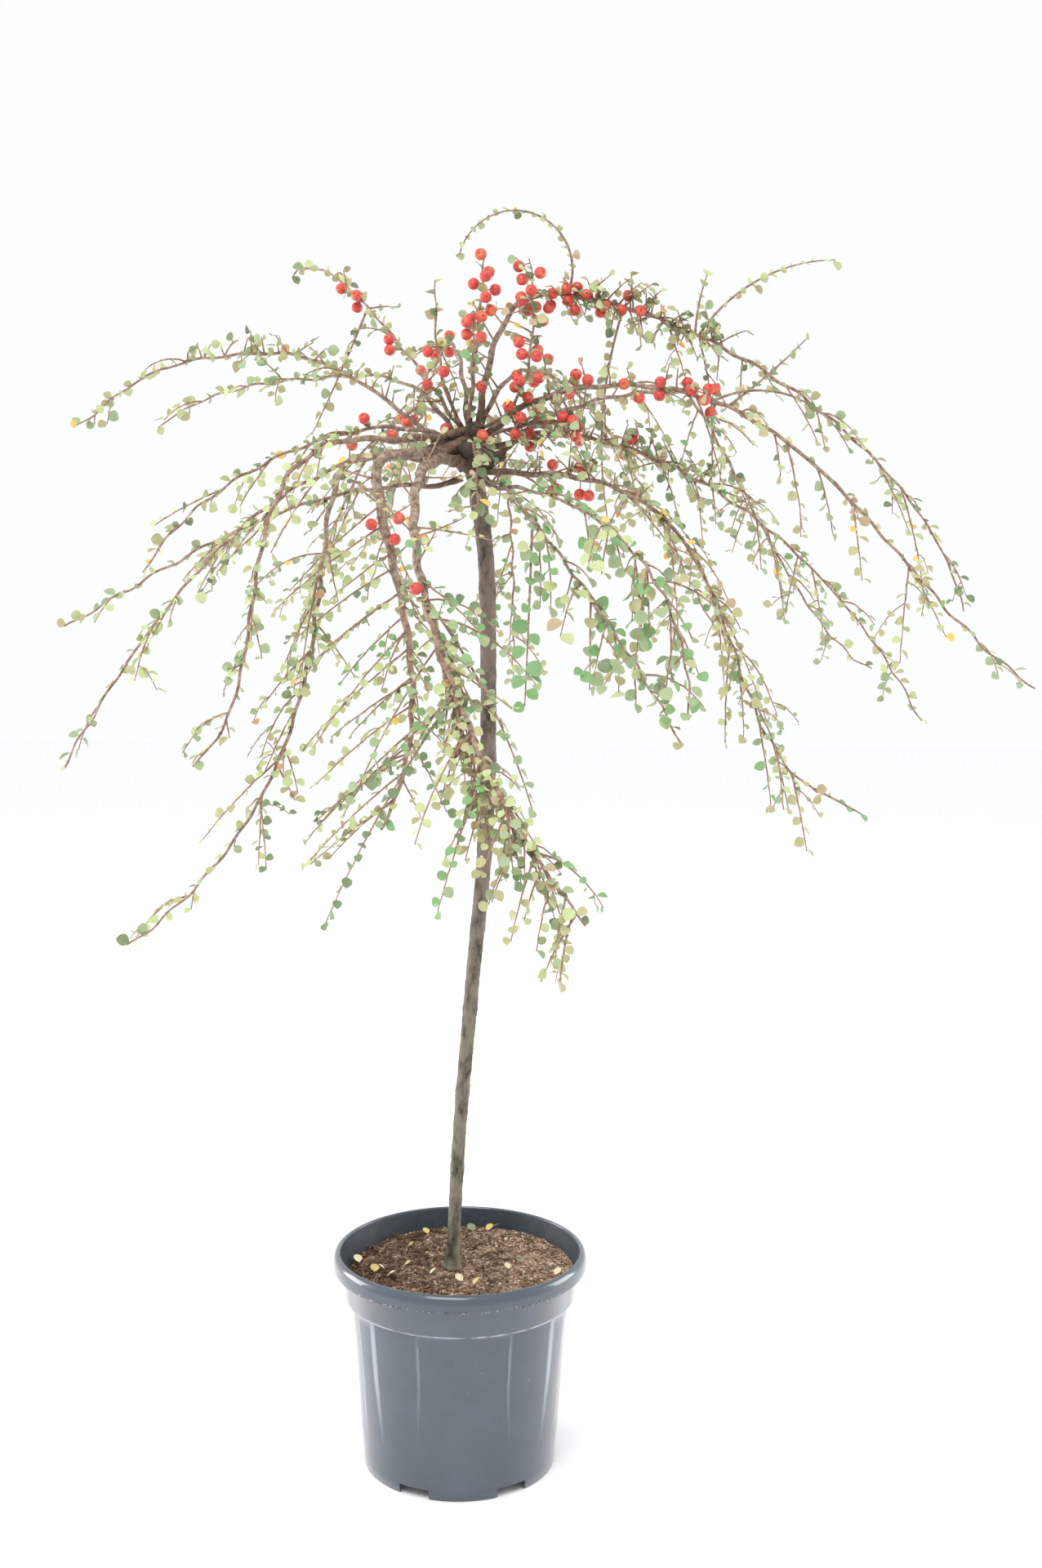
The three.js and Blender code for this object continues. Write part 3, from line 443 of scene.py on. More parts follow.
def pot_material(colours, lip, foot):
    """Injection-moulded polypropylene: a dark blue-grey with a glossy skin that takes on the bright room.

    Fine dust lightens it in soft patches. Pale painted highlights run along its convex edges, the narrow ribs
    and the shoulder's step, and a broken dark painted shadow lies under the rolled rim. Grit clings to it in
    specks, most of them there.
    """
    material, tree, place, skin, relief = patterned(
        "moulded_polypropylene", colours.pot, 0.36, IOR=1.49, Coat_Weight=1.0, Coat_Roughness=0.1
    )
    height = add_node(tree, "SeparateXYZ", {"Vector": place}).outputs["Z"]
    dust = add_node(tree, "TexNoise", {"Vector": place, "Scale": 1 / 0.03, "Detail": 3})
    stops = [(0.42, tuple(colours.pot)), (0.75, shade(colours.pot, 1.2))]
    plastic = add_node(tree, "ValToRGB", {"Fac": dust}, stops)
    wall = add_node(tree, "Math", {0: height, 1: foot * 0.6, 2: foot * 0.39}, operation="COMPARE")
    # Painted highlight: the wall's convex edges, the flutes' edges among them, are lightened where a sheen
    # would catch them
    edges = add_node(tree, "NewGeometry").outputs["Pointiness"]
    edge_sheen = add_node(tree, "MapRange", {"Value": edges, "From Min": 0.51, "From Max": 0.55, "To Max": 0.7})
    painted_edge_highlight = add_node(tree, "Math", {0: edge_sheen, 1: wall}, operation="MULTIPLY")
    # Painted highlight along one edge of each narrow rib, read from an attribute of the mesh
    painted_rib_highlights = add_node(tree, "Attribute", attribute_name="rib_highlight").outputs["Fac"]
    broken = add_node(tree, "TexNoise", {"Vector": place, "Scale": 1 / 0.02, "Detail": 3})
    # Painted highlight: a broken pale line along the step at the shoulder's foot
    step = add_node(tree, "Math", {0: height, 1: foot + 0.0002, 2: 0.0012}, operation="COMPARE")
    broken_step_highlight = add_node(tree, "MapRange", {"Value": broken, "From Min": 0.34, "From Max": 0.64, "To Max": 0.72})
    painted_step_highlight = add_node(tree, "Math", {0: step, 1: broken_step_highlight}, operation="MULTIPLY")
    under_rim = add_node(tree, "Math", {0: height, 1: lip + 0.0006, 2: 0.0021}, operation="COMPARE")
    # Painted shadow: the rim's lower edge is darkened in a broken line, as the shade of the gap under its lip
    gap_shadow_breaks = add_node(tree, "MapRange", {"Value": broken, "From Min": 0.44, "From Max": 0.5, "To Max": 0.9})
    painted_gap_shadow = add_node(tree, "Math", {0: under_rim, 1: gap_shadow_breaks}, operation="MULTIPLY")
    # Real grit is finer, and is drawn 2 mm wide here so that it shows
    grit = add_node(tree, "TexNoise", {"Vector": place, "Scale": 1 / 0.0022, "Detail": 2})
    thick = add_node(tree, "Math", {0: under_rim, 1: 0.15, 2: grit}, operation="MULTIPLY_ADD")
    specks = add_node(tree, "MapRange", {"Value": thick, "From Min": 0.765, "From Max": 0.79})
    lines = {"#b9bfc7": painted_edge_highlight, "#b6bcc6": painted_rib_highlights, "#aab0ba": painted_step_highlight, "#1d2128": painted_gap_shadow}
    for colour, mask in {**lines, "#a4a9b1": specks}.items():
        plastic = add_node(tree, "MixRGB", {"Fac": mask, "Color1": plastic, "Color2": linear(colour)})
    tree.links.new(plastic.outputs["Color"], skin)
    add_node(tree, "Bump", {"Height": grit, "Distance": 0.0001, "Strength": 0.15}, to=relief)
    return material


def inside_material(colours):
    """The same plastic inside the pot, darkened by painted shade and dulled by dust, so it has little shine.
    """
    # Painted shade: the inside takes six tenths of the pot's colour
    shaded_pot = shade(colours.pot, 0.6)
    material, tree, place, skin, _ = patterned("shaded_dusty_polypropylene", shaded_pot, 0.55, IOR=1.49)
    dust = add_node(tree, "TexNoise", {"Vector": place, "Scale": 1 / 0.012, "Detail": 5})
    add_node(tree, "ValToRGB", {"Fac": dust}, [(0.45, shaded_pot), (0.8, shade(shaded_pot, 1.6))], to=skin)
    return material


def soil_material(name, stops):
    """Peat and bark compost: dry crumbs with no shine, darker and redder where it is damp, at the left."""
    stops = [(place, linear(colour)) for place, colour in stops]
    material, tree, place, skin, relief = patterned(name, stops[1][1], 0.95, Specular_IOR_Level=0.2)
    grain = {"Vector": place, "Scale": 1 / 0.0032, "Detail": 6, "Roughness": 0.75}
    crumbs = add_node(tree, "ValToRGB", {"Fac": add_node(tree, "TexNoise", grain)}, stops)
    across = add_node(tree, "SeparateXYZ", {"Vector": place}).outputs["X"]
    patches = add_node(tree, "TexNoise", {"Vector": place, "Scale": 1 / 0.012, "Detail": 5, "Roughness": 0.6})
    dry = add_node(tree, "Math", {0: patches, 1: 0.7, 2: across}, operation="MULTIPLY_ADD")
    damp = {"Value": dry, "From Min": 0.25, "From Max": 0.46, "To Min": 1, "To Max": 0}
    shades = {"Fac": add_node(tree, "MapRange", damp), "Color1": crumbs, "Color2": linear("#91847c")}
    add_node(tree, "MixRGB", shades, to=skin, blend_type="MULTIPLY")
    rough = add_node(tree, "TexNoise", {"Vector": place, "Scale": 1 / 0.0018, "Detail": 5})
    add_node(tree, "Bump", {"Height": rough, "Distance": 0.0012}, to=relief)
    return material


def stem_material(colours):
    """Young living bark: smooth and olive low on the stem, greyer and corky above, with painted shade at the
    graft.
    """
    material, tree, place, skin, relief = patterned("living_stem_bark", colours.stem, 0.72, IOR=1.45)
    height = add_node(tree, "SeparateXYZ", {"Vector": place}).outputs["Z"]
    rise = add_node(tree, "MapRange", {"Value": height, "From Min": 0.25, "From Max": 0.75})
    base = add_node(tree, "MixRGB", {"Fac": rise, "Color1": linear("#7c7764"), "Color2": colours.stem})
    narrow = add_node(tree, "Mapping", {"Vector": place, "Scale": (1, 1, 0.45)})
    cork = add_node(tree, "TexNoise", {"Vector": narrow, "Scale": 1 / 0.012, "Detail": 7, "Roughness": 0.65})
    stops = [(0.36, linear("#4f463e")), (0.54, linear("#ffffff"))]
    patches = add_node(tree, "ValToRGB", {"Fac": cork}, stops)
    bark = add_node(tree, "MixRGB", {"Fac": 0.85, "Color1": base, "Color2": patches}, blend_type="MULTIPLY")
    # Painted shade: the top of the stem darkens towards the graft, under the crown
    graft_shade = add_node(tree, "MapRange", {"Value": height, "From Min": 1.02, "From Max": 1.05, "To Max": 0.8})
    shades = {"Fac": graft_shade, "Color1": bark, "Color2": linear("#94816f")}
    add_node(tree, "MixRGB", shades, to=skin, blend_type="MULTIPLY")
    cracks = add_node(tree, "Mapping", {"Vector": place, "Scale": (1, 1, 0.3)})
    rough = add_node(tree, "TexNoise", {"Vector": cracks, "Scale": 1 / 0.003, "Detail": 5})
    add_node(tree, "Bump", {"Height": rough, "Distance": 0.0006}, to=relief)
    return material


def bough_material(name, colour, dark, pale):
    """Ripened wood: red-brown bark under a thin grey skin that has flaked off in places, with painted shade
    near the head.
    """
    material, tree, place, skin, relief = patterned(name, linear(colour), 0.68, IOR=1.45)
    flakes = add_node(tree, "TexNoise", {"Vector": place, "Scale": 1 / 0.007, "Detail": 7, "Roughness": 0.7})
    stops = [(0.32, linear(dark)), (0.48, linear(colour)), (0.68, linear(pale))]
    bark = add_node(tree, "ValToRGB", {"Fac": flakes}, stops)
    head = [c * MM for c in HEAD]
    away = add_node(tree, "VectorMath", {0: place, 1: head}, operation="DISTANCE").outputs["Value"]
    # Painted shade: wood near the head is darkened, under the crown
    near = {"Value": away, "From Min": 0.02, "From Max": 0.1, "To Min": 0.85, "To Max": 0}
    shades = {"Fac": add_node(tree, "MapRange", near), "Color1": bark, "Color2": linear("#94816f")}
    add_node(tree, "MixRGB", shades, to=skin, blend_type="MULTIPLY")
    rough = add_node(tree, "TexNoise", {"Vector": place, "Scale": 1 / 0.002, "Detail": 4})
    add_node(tree, "Bump", {"Height": rough, "Distance": 0.0004}, to=relief)
    return material


def berry_material(colours):
    """Ripe berry skin: thin, taut and waxed, bright red and more orange where the sun missed it."""
    under_skin = dict(Subsurface_Weight=0.12, Subsurface_Scale=0.003, Subsurface_Radius=(1.0, 0.3, 0.15))
    material, tree, place, skin, _ = patterned("ripe_berry_skin", colours.berry, 0.34, IOR=1.4, **under_skin)
    ripeness = add_node(tree, "TexNoise", {"Vector": place, "Scale": 1 / 0.012, "Detail": 3})
    stops = [(0.5, tuple(colours.berry)), (0.72, linear("#dd7f56"))]
    add_node(tree, "ValToRGB", {"Fac": ripeness}, stops, to=skin)
    return material


# Meshes


def select_only(*objects):
    """Leaves edit mode and selects these objects alone, the last one active."""
    if bpy.context.object and bpy.context.object.mode != "OBJECT":
        bpy.ops.object.mode_set(mode="OBJECT")
    bpy.ops.object.select_all(action="DESELECT")
    for obj in objects:
        obj.select_set(True)
        bpy.context.view_layer.objects.active = obj


def dress(obj, name, material, nodes=(), smooth=True):
    """Names a finished piece, gives it its material and says what it rides on and stands for."""
    obj.name = obj.data.name = name
    obj.data.materials.clear()
    obj.data.materials.append(material)
    if smooth:
        obj.data.shade_smooth()
    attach(obj, BODY)
    if nodes:
        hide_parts(*nodes)
    return obj


class Pile:
    """Many small shapes that become one joined mesh."""

    def __init__(self):
        self.points = []
        self.faces = []
        self.count = 0

    def add(self, points, faces):
        """Adds a shape: its points, and its faces as places in those points."""
        self.points.append(np.asarray(points, float))
        self.faces.extend([[i + self.count for i in face] for face in faces])
        self.count += len(points)

    def add_copies(self, copies, faces):
        """Adds copies of one shape: an array of the points of each, and the faces they share."""
        number, size, _ = copies.shape
        starts = self.count + size * np.arange(number)
        for corners in (3, 4):
            group = np.array([face for face in faces if len(face) == corners])
            if len(group):
                self.faces.extend((starts[:, None, None] + group[None]).reshape(-1, corners).tolist())
        self.points.append(copies.reshape(-1, 3))
        self.count += number * size

    def build(self, name):
        """The joined mesh as an object at the origin, in metres."""
        mesh = bpy.data.meshes.new(name)
        mesh.from_pydata(np.vstack(self.points) * MM, [], self.faces)
        obj = bpy.data.objects.new(name, mesh)
        bpy.context.scene.collection.objects.link(obj)
        return obj


def tube(points, radii, sides):
    """A closed round skin along points, drawn in to a blunt tip."""
    points = np.asarray(points, float)
    along = np.gradient(points, axis=0)
    along /= np.linalg.norm(along, axis=1)[:, None]
    across = np.cross(along[0], UP)
    if np.linalg.norm(across) < 0.1:
        across = np.array((1.0, 0.0, 0.0))
    angles = 2 * np.pi * np.arange(sides) / sides
    cosines, sines = np.cos(angles)[:, None], np.sin(angles)[:, None]
    rings = []
    for place, way, radius in zip(points, along, radii):
        across = across - way * across.dot(way)
        across /= np.linalg.norm(across)
        rings.append(place + radius * (cosines * across + sines * np.cross(way, across)))
    faces = [
        (i * sides + j, i * sides + (j + 1) % sides, (i + 1) * sides + (j + 1) % sides, (i + 1) * sides + j)
        for i in range(len(points) - 1)
        for j in range(sides)
    ]
    last = (len(points) - 1) * sides
    faces += [tuple(range(sides))[::-1], tuple(range(last, last + sides))]
    return np.vstack(rings), faces


def taper_pile(lines, sides):
    """Skins along lines that taper from one radius to another, as one pile."""
    pile = Pile()
    for line, root, tip in lines:
        share = line.reach / line.length
        pile.add(*tube(line.points, root + (tip - root) * share, sides))
    return pile


def leaf_pile(leaves, width, fold=LEAF_FOLD, curl=LEAF_CURL):
    """Copies of the leaf's outline, folded at the midrib and curled, as one pile.

    A leaf is its place, its axis, the direction of its width, and its length. Its width is a share of that.
    """
    places, axes, sides, lengths = (np.array(part) for part in zip(*leaves))
    widths = lengths * width
    faces = np.cross(axes, sides)
    shares = np.array([share for share, _ in LEAF_OUTLINE])
    halves = np.array([half for _, half in LEAF_OUTLINE])
    rows = []
    for lane in (-1, 0, 1):
        out = (lane * halves)[None, :, None] * widths[:, None, None] * sides[:, None]
        raised = (abs(lane) * halves * fold)[None, :, None] * widths[:, None, None] * faces[:, None]
        drop = (-curl * shares**2)[None, :, None] * lengths[:, None, None] * faces[:, None]
        reach = shares[None, :, None] * lengths[:, None, None] * axes[:, None]
        rows.append(places[:, None] + reach + out + raised + drop)
    tips = places + lengths[:, None] * (axes - curl * faces)
    pile = Pile()
    pile.add_copies(np.concatenate([*rows, tips[:, None]], axis=1), leaf_faces())
    return pile


def leaf_faces():
    """The faces that every leaf shares, in the order of its points."""
    count = len(LEAF_OUTLINE)
    faces = []
    for i in range(count - 1):
        for lane in (0, 1):
            a = lane * count + i
            faces.append((a, a + 1, a + count + 1, a + count))
    tip = 3 * count
    faces += [(count - 1, tip, 2 * count - 1), (2 * count - 1, tip, 3 * count - 1)]
    return faces


# Growth, in millimetres as in the source


def seeded(seed):
    """Numbers from 0 to 1, the same in every run and the same as the source's."""
    mask = 0xFFFFFFFF
    state = seed & mask
    while True:
        state = (state + 0x6D2B79F5) & mask
        t = (state ^ (state >> 15)) * (state | 1) & mask
        t ^= (t + ((t ^ (t >> 7)) * (t | 61) & mask)) & mask
        yield ((t ^ (t >> 14)) & mask) / 2**32


def vary(pair, rand):
    """A value that varies by seed, from the least and how much more."""
    return pair[0] + pair[1] * next(rand)


def jolt(rand):
    """A random vector, with each part of it from -0.5 to 0.5."""
    return np.array([next(rand) - 0.5 for _ in range(3)])


def side_of(i):
    """The side of its line that the next of a row is on, by turns."""
    return 1 if i % 2 else -1


def unit(vector):
    """A vector of length one in the same direction."""
    return vector / np.linalg.norm(vector)


def aim(az, lift):
    """The unit vector for a compass direction and an angle above level, in degrees."""
    a, b = math.radians(az), math.radians(lift)
    return np.array((math.cos(b) * math.cos(a), math.cos(b) * math.sin(a), math.sin(b)))


def level_beside(along):
    """The level direction square to a line, or a set one where the line is upright."""
    level = np.cross(along, UP)
    if np.linalg.norm(level) < 0.2:
        level = np.array((-along[1] - 1e-3, along[0] + 1, 0))
    return unit(level)


class Line:
    """A line of points that can be asked for a place, or a stretch, by its share of the length."""

    def __init__(self, points):
        self.points = np.asarray(points, float)
        steps = np.linalg.norm(np.diff(self.points, axis=0), axis=1)
        self.reach = np.concatenate(([0.0], np.cumsum(steps)))
        self.length = self.reach[-1]

    def at(self, share):
        """The place at a share of the length, and the way the line runs there."""
        far = share * self.length
        i = int(np.clip(np.searchsorted(self.reach, far, side="right") - 1, 0, len(self.points) - 2))
        step, span = self.points[i + 1] - self.points[i], self.reach[i + 1] - self.reach[i]
        return self.points[i] + step * (far - self.reach[i]) / span, step / span

    def stretch(self, start, end, step):
        """The part between two shares of the length, in even steps."""
        count = max(2, round((end - start) * self.length / step))
        return Line([self.at(share)[0] for share in np.linspace(start, end, count + 1)])


def arc(start, pull, end, count):
    """Points on a curve that sets out towards a pull and comes to its end from there."""
    t = np.linspace(0, 1, count + 1)[:, None]
    return (1 - t) ** 2 * start + 2 * t * (1 - t) * pull + t**2 * end


def bough_line(row):
    """The middle line of a bough, from inside the head over its crest to its tip."""
    root, crest, tip = (np.array(p, float) for p in ((ROOT_REACH, row["root"]), row["crest"], row["tip"]))
    lead = np.array((ROOT_REACH + row["lean"] * (crest[0] - ROOT_REACH), crest[1]))
    over = np.array((crest[0] + (row["shoulder"] - crest[0]) * 2 / 3, crest[1]))
    slope = math.radians(row["hang"])
    handle = np.linalg.norm(crest - tip) * row["sway"]
    back = tip + handle * np.array((-math.cos(slope), math.sin(slope)))
    t = np.linspace(0, 1, FALL_POINTS + 1)[1:, None]
    fall = (1 - t) ** 3 * crest + 3 * t * (1 - t) ** 2 * over + 3 * t**2 * (1 - t) * back + t**3 * tip
    profile = np.vstack((arc(root, lead, crest, RISE_POINTS), fall))
    travel = Line(profile).reach
    az = np.radians(row["az"] + row["sweep"] * travel / travel[-1])
    x, y = HEAD[0] + profile[:, 0] * np.cos(az), HEAD[1] + profile[:, 0] * np.sin(az)
    return Line(np.stack((x, y, profile[:, 1]), axis=1))


def crown_line(path):
    """The middle line of a shoot that rises from the head through its middle place."""
    root, middle, tip = (np.array(p, float) for p in path)
    return Line(arc(root, 2 * middle - (root + tip) / 2, tip, CROWN_POINTS))


def shoot_line(start, az, lift, bend, length, steps):
    """A side shoot leaves a place at an angle and bends evenly down along its length."""
    points = [start]
    for i in range(steps):
        points.append(points[-1] + aim(az, lift - bend * (i + 0.5) / steps) * length / steps)
    return Line(points)


def twig_line(place, along, side, reach, rand, steps):
    """A twig leaves its parent at one side and bends over under its own weight."""
    angle = math.radians(vary(TWIG_ANGLE, rand))
    way = along * math.cos(angle) + level_beside(along) * side * math.sin(angle)
    way[2] += vary(TWIG_RISE, rand)
    length = reach * vary(TWIG_LENGTH, rand)
    points = [place]
    for i in range(steps):
        points.append(points[-1] + unit(way - UP * TWIG_DROOP * (i + 0.5) / steps) * length / steps)
    return Line(points)


def stem_middle(height):
    """The stem's middle at heights in millimetres."""
    path = np.array(STEM_PATH, float)
    slopes = np.gradient(path[:, :2], path[:, 2], axis=0)
    i = np.clip(np.searchsorted(path[:, 2], height) - 1, 0, len(path) - 2)
    span = (path[i + 1, 2] - path[i, 2])[:, None]
    t = np.clip((height - path[i, 2])[:, None] / span, 0, 1)
    start, end = path[i, :2], path[i + 1, :2]
    bend = (2 * t**3 - 3 * t**2 + 1) * start + (3 * t**2 - 2 * t**3) * end
    ease = (t**3 - 2 * t**2 + t) * span * slopes[i] + (t**3 - t**2) * span * slopes[i + 1]
    return np.column_stack((bend + ease, height))


class Spaces:
    """The room round each mass: the places nearer to its own lines than to any other's, and off the limbs."""

    def __init__(self):
        self.names = []
        self.starts = []
        self.ends = []
        self.first = []
        self.limbs = []

    def add(self, name, lines):
        """Gives a mass its own lines."""
        self.names.append(name)
        self.first.append(sum(len(part) for part in self.starts))
        for line in lines:
            self.starts.append(line.points[:-1])
            self.ends.append(line.points[1:])

    def add_limb(self, line, radius):
        """Keeps the masses off bare wood."""
        self.limbs.append((line.points[:-1], line.points[1:], radius))

    @staticmethod
    def distances(points, starts, ends):
        """How far each point is from each stretch."""
        steps = ends - starts
        away = points[:, None] - starts[None]
        share = np.clip((away * steps).sum(-1) / (steps**2).sum(-1), 0, 1)
        return np.linalg.norm(away - share[..., None] * steps, axis=-1)

    def close(self):
        """Stacks all lines once they are known."""
        self.starts, self.ends = np.vstack(self.starts), np.vstack(self.ends)
        radii = np.concatenate([np.full(len(starts), radius) for starts, _, radius in self.limbs])
        starts, ends = (np.vstack([limb[i] for limb in self.limbs]) for i in (0, 1))
        self.limbs = starts, ends, radii

    def clear(self, points):
        """Whether each point is outside the wood and the head."""
        starts, ends, radii = self.limbs
        shape = np.array((1, 1, HEAD_RADIUS / HEAD_HALF_HEIGHT))
        good = np.linalg.norm((points - HEAD) * shape, axis=1) > HEAD_RADIUS + LIMB_MARGIN
        return good & (self.distances(points, starts, ends) > radii + LIMB_MARGIN).all(axis=1)

    def free(self, points, owner):
        """Whether all these points are clear of wood, and in their owner's room if they have an owner."""
        points = np.atleast_2d(points)
        good = self.clear(points)
        if owner and good.any():
            nearest = np.minimum.reduceat(self.distances(points, self.starts, self.ends), self.first, axis=1)
            mine = self.names.index(owner)
            others = np.delete(nearest, mine, axis=1).min(axis=1)
            good &= others >= nearest[:, mine] + 2 * SPACE_MARGIN
        return good.all()


class Growth:
    """Everything that grows on the limbs, as lines, leaf places and berry places."""

    def __init__(self, leaf_spacing, leaf_length, berry_radius):
        self.leaf_spacing = leaf_spacing
        self.leaf_length = leaf_length
        self.berry_radius = berry_radius
        self.lines = {}
        self.woods = []
        self.stems = []
        self.twigs = []
        self.leaves = {tint: [] for tint in TINTS}
        self.berries = []
        self.stalks = []
        self.spaces = Spaces()
        self.plan_spaces()
        for i, (name, row) in enumerate({**BOUGHS, **CROWN}.items()):
            self.grow_mass(name, row, FIRST_SEED + MASS_SEEDS * i)
        rand = seeded(FINE_SEEDS)
        for name, clusters in BERRIES.items():
            for share, number in clusters:
                for _ in range(number):
                    self.add_berry(self.lines[name]["wood"], share, rand)

    def plan_spaces(self):
        """Draws every limb and gives each mass its room."""
        for name, row in BOUGHS.items():
            line, limb = bough_line(row), row["limb"]
            coarse = line.stretch(limb, 1, LEAFY_STEM_STEP)
            shoots = [
                shoot_line(coarse.at((share - limb) / (1 - limb))[0], *shape, SHOOT_STEPS)
                for share, *shape in SHOOTS.get(name, [])
            ]
            self.lines[name] = {"whole": line, "leafy": coarse}
            self.spaces.add(name, [line, *shoots])
            self.spaces.add_limb(line.stretch(0, limb, BOUGH_STEP), row["girth"])
        for name, row in CROWN.items():
            line = crown_line(row["path"])
            coarse = line.stretch(0, 1, CROWN_STEP)
            self.lines[name] = {"whole": line, "leafy": coarse}
            self.spaces.add(name, [coarse])
        trunk = Line(stem_middle(np.linspace(STEM_PATH[0][2], STEM_PATH[-1][2], TRUNK_POINTS)))
        self.spaces.add("trunk", [trunk])
        self.spaces.add_limb(trunk, TRUNK_RADIUS)
        self.spaces.close()

    def grow_mass(self, owner, row, seed):
        """Grows one mass: its stem and shoots, the source's twigs, finer ones between them, and leaves."""
        lines, limb, spread = self.lines[owner], row.get("limb", 0), row["spread"]
        fine = seeded(seed + FINE_SEEDS)
        whole = lines["wood"] = self.wiggle(lines["whole"], fine)
        stem = whole.stretch(limb, 1, LINE_STEP)
        if limb:
            girth = row["girth"] * THICK_WOOD.get(owner, BARE_WOOD)
            end = girth * BOUGH_TAPER
            wood = whole.stretch(0, limb + WOOD_OVERLAP, LINE_STEP)
            self.woods.append((wood, girth, end))
            self.grow_wood_shoots(wood, owner, fine)
            self.stems.append((stem, end, THICK_TIPS.get(owner, STEM_TIP)))
        else:
            self.stems.append((whole, *RADII["crown"]))
        self.grow_spurs(stem, owner, fine)
        for share, az, lift, bend, length in SHOOTS.get(owner, []):
            shoot = shoot_line(whole.at(share)[0], az, lift, bend, length, round(length / LINE_STEP))
            self.stems.append((shoot, *RADII["shoot"]))
            arching = lift > ARCHING_LIFT and length > ARCHING_LENGTH
            size = SIZE_ON["arching"] if arching else SIZE_ON["shoot"] * BIG_LEAVES.get(owner, 1)
            bare = BARE_ROOT["shoot"]
            for _ in range(2 if arching else 1):
                self.grow_leaves(shoot, owner, bare, size, fine, self.pick_tint(owner, fine))
            reach = min(spread, length) * SHOOT_SPREAD
            self.grow_side_twigs(shoot, owner, reach, bare, fine, SHOOT_TWIG_SPACING)
        number = max(2, round(lines["leafy"].length / TWIG_SPACING))
        for i in range(number):
            reach = spread * (1 - TWIG_FADE * i / number)
            own = seeded(seed + TWIG_SEEDS * (i + 1))
            place, along = lines["leafy"].at((i + TWIG_FIRST) / number)
            start = whole.at(limb + (1 - limb) * (i + TWIG_FIRST) / number)[0]
            self.grow_source_twig(place, along, start, side_of(i), reach, own, owner, fine)
        self.grow_side_twigs(stem, owner, spread, SIDE_TWIG_FIRST, fine, SIDE_TWIG_SPACING)
        for spray in SPRAYS.get(owner, []):
            self.grow_spray(whole, owner, spray, fine)

    @staticmethod
    def wiggle(line, rand):
        """A line with the slight bends of a real branch."""
        fine = line.stretch(0, 1, LINE_STEP)
        bends = [np.sin(2 * np.pi * (fine.reach / wave + next(rand))) for wave in WOOD_WAVES]
        ramp = np.clip(fine.reach / WIGGLE_RAMP, 0, 1)[:, None]
        return Line(fine.points + WOOD_WIGGLE * ramp * np.column_stack(bends))

    def grow_wood_shoots(self, wood, owner, rand):
        """Short shoots and small leaves that stand on the bare wood near the head, more of them above it."""
        thinning = 1 if owner.startswith(("right", "front")) else WOOD_SHOOTS_BEHIND
        number = int(wood.length / WOOD_SHOOT_SPACING * thinning)
        for i in range(number):
            share = WOOD_SHOOT_FIRST + (1 - WOOD_SHOOT_FIRST) * (i + next(rand)) / number
            place, along = wood.at(min(share, LAST_LEAF))
            way = unit(jolt(rand) + UP * WOOD_SHOOT_LIFT)
            way = unit(way - along * way.dot(along) * WOOD_SHOOT_SQUARE)
            length = vary(WOOD_SHOOT_REACH, rand)
            part = np.linspace(0, 1, WOOD_SHOOT_STEPS + 1)[:, None]
            shoot = Line(place + way * length * part + UP * WOOD_SHOOT_BEND * length * part**2)
            if self.spaces.free(shoot.points[2:], None):
                self.twigs.append((shoot, *RADII["wood_shoot"]))
                size, bare = SIZE_ON["wood_shoot"], BARE_ROOT["wood_shoot"]
                self.grow_leaves(shoot, None, bare, size, rand, self.pick_tint("crown", rand))

    def grow_spray(self, whole, owner, spray, rand):
        """A row of side shoots that the photograph shows, with their leaves."""
        first, last, number, az, lift, length = spray
        for i in range(number):
            share = first + (last - first) * (i + next(rand)) / number
            way = vary(az, rand), vary(lift, rand)
            reach = vary(length, rand)
            shoot = shoot_line(whole.at(share)[0], *way, SPRAY_BEND, reach, max(3, round(reach / LINE_STEP)))
            if self.spaces.free(shoot.points[2:], None):
                self.grow_twig(shoot, owner, RADII["spray"], rand, roam=True)

    def grow_source_twig(self, place, along, start, side, reach, own, owner, fine):
        """One of the source's own twigs, as long as it is there, with finer ones on it."""
        for cut in TWIG_CUTS:
            state = [next(own) for _ in range(3)]
            coarse = twig_line(place, along, side, reach * cut, iter(state), TWIG_STEPS)
            if self.spaces.free(coarse.points[1:], owner):
                steps = max(4, round(coarse.length / LINE_STEP))
                twig = twig_line(start, along, side, reach * cut, iter(state), steps)
                self.grow_twig(twig, owner, RADII["source_twig"], fine)
                return

    def grow_side_twigs(self, parent, owner, spread, start, rand, spacing):
        """Finer twigs at both sides of a line, shorter and fewer towards its tip."""
        number = int((1 - start) * parent.length / spacing)
        for i in range(number):
            share = start + (1 - start) * (i + next(rand)) / number
            reach = spread * (1 - SIDE_TWIG_FADE * share) * vary(SIDE_TWIG_REACH, rand)
            place, along = parent.at(share)
            if next(rand) < share - SIDE_TWIG_THINNING:
                continue
            for cut in TWIG_CUTS:
                steps = max(3, round(reach * cut / LINE_STEP))
                twig = twig_line(place, along, side_of(i), reach * cut, rand, steps)
                if self.spaces.free(twig.points[1:], owner):
                    self.grow_twig(twig, owner, RADII["side_twig"], rand)
                    break

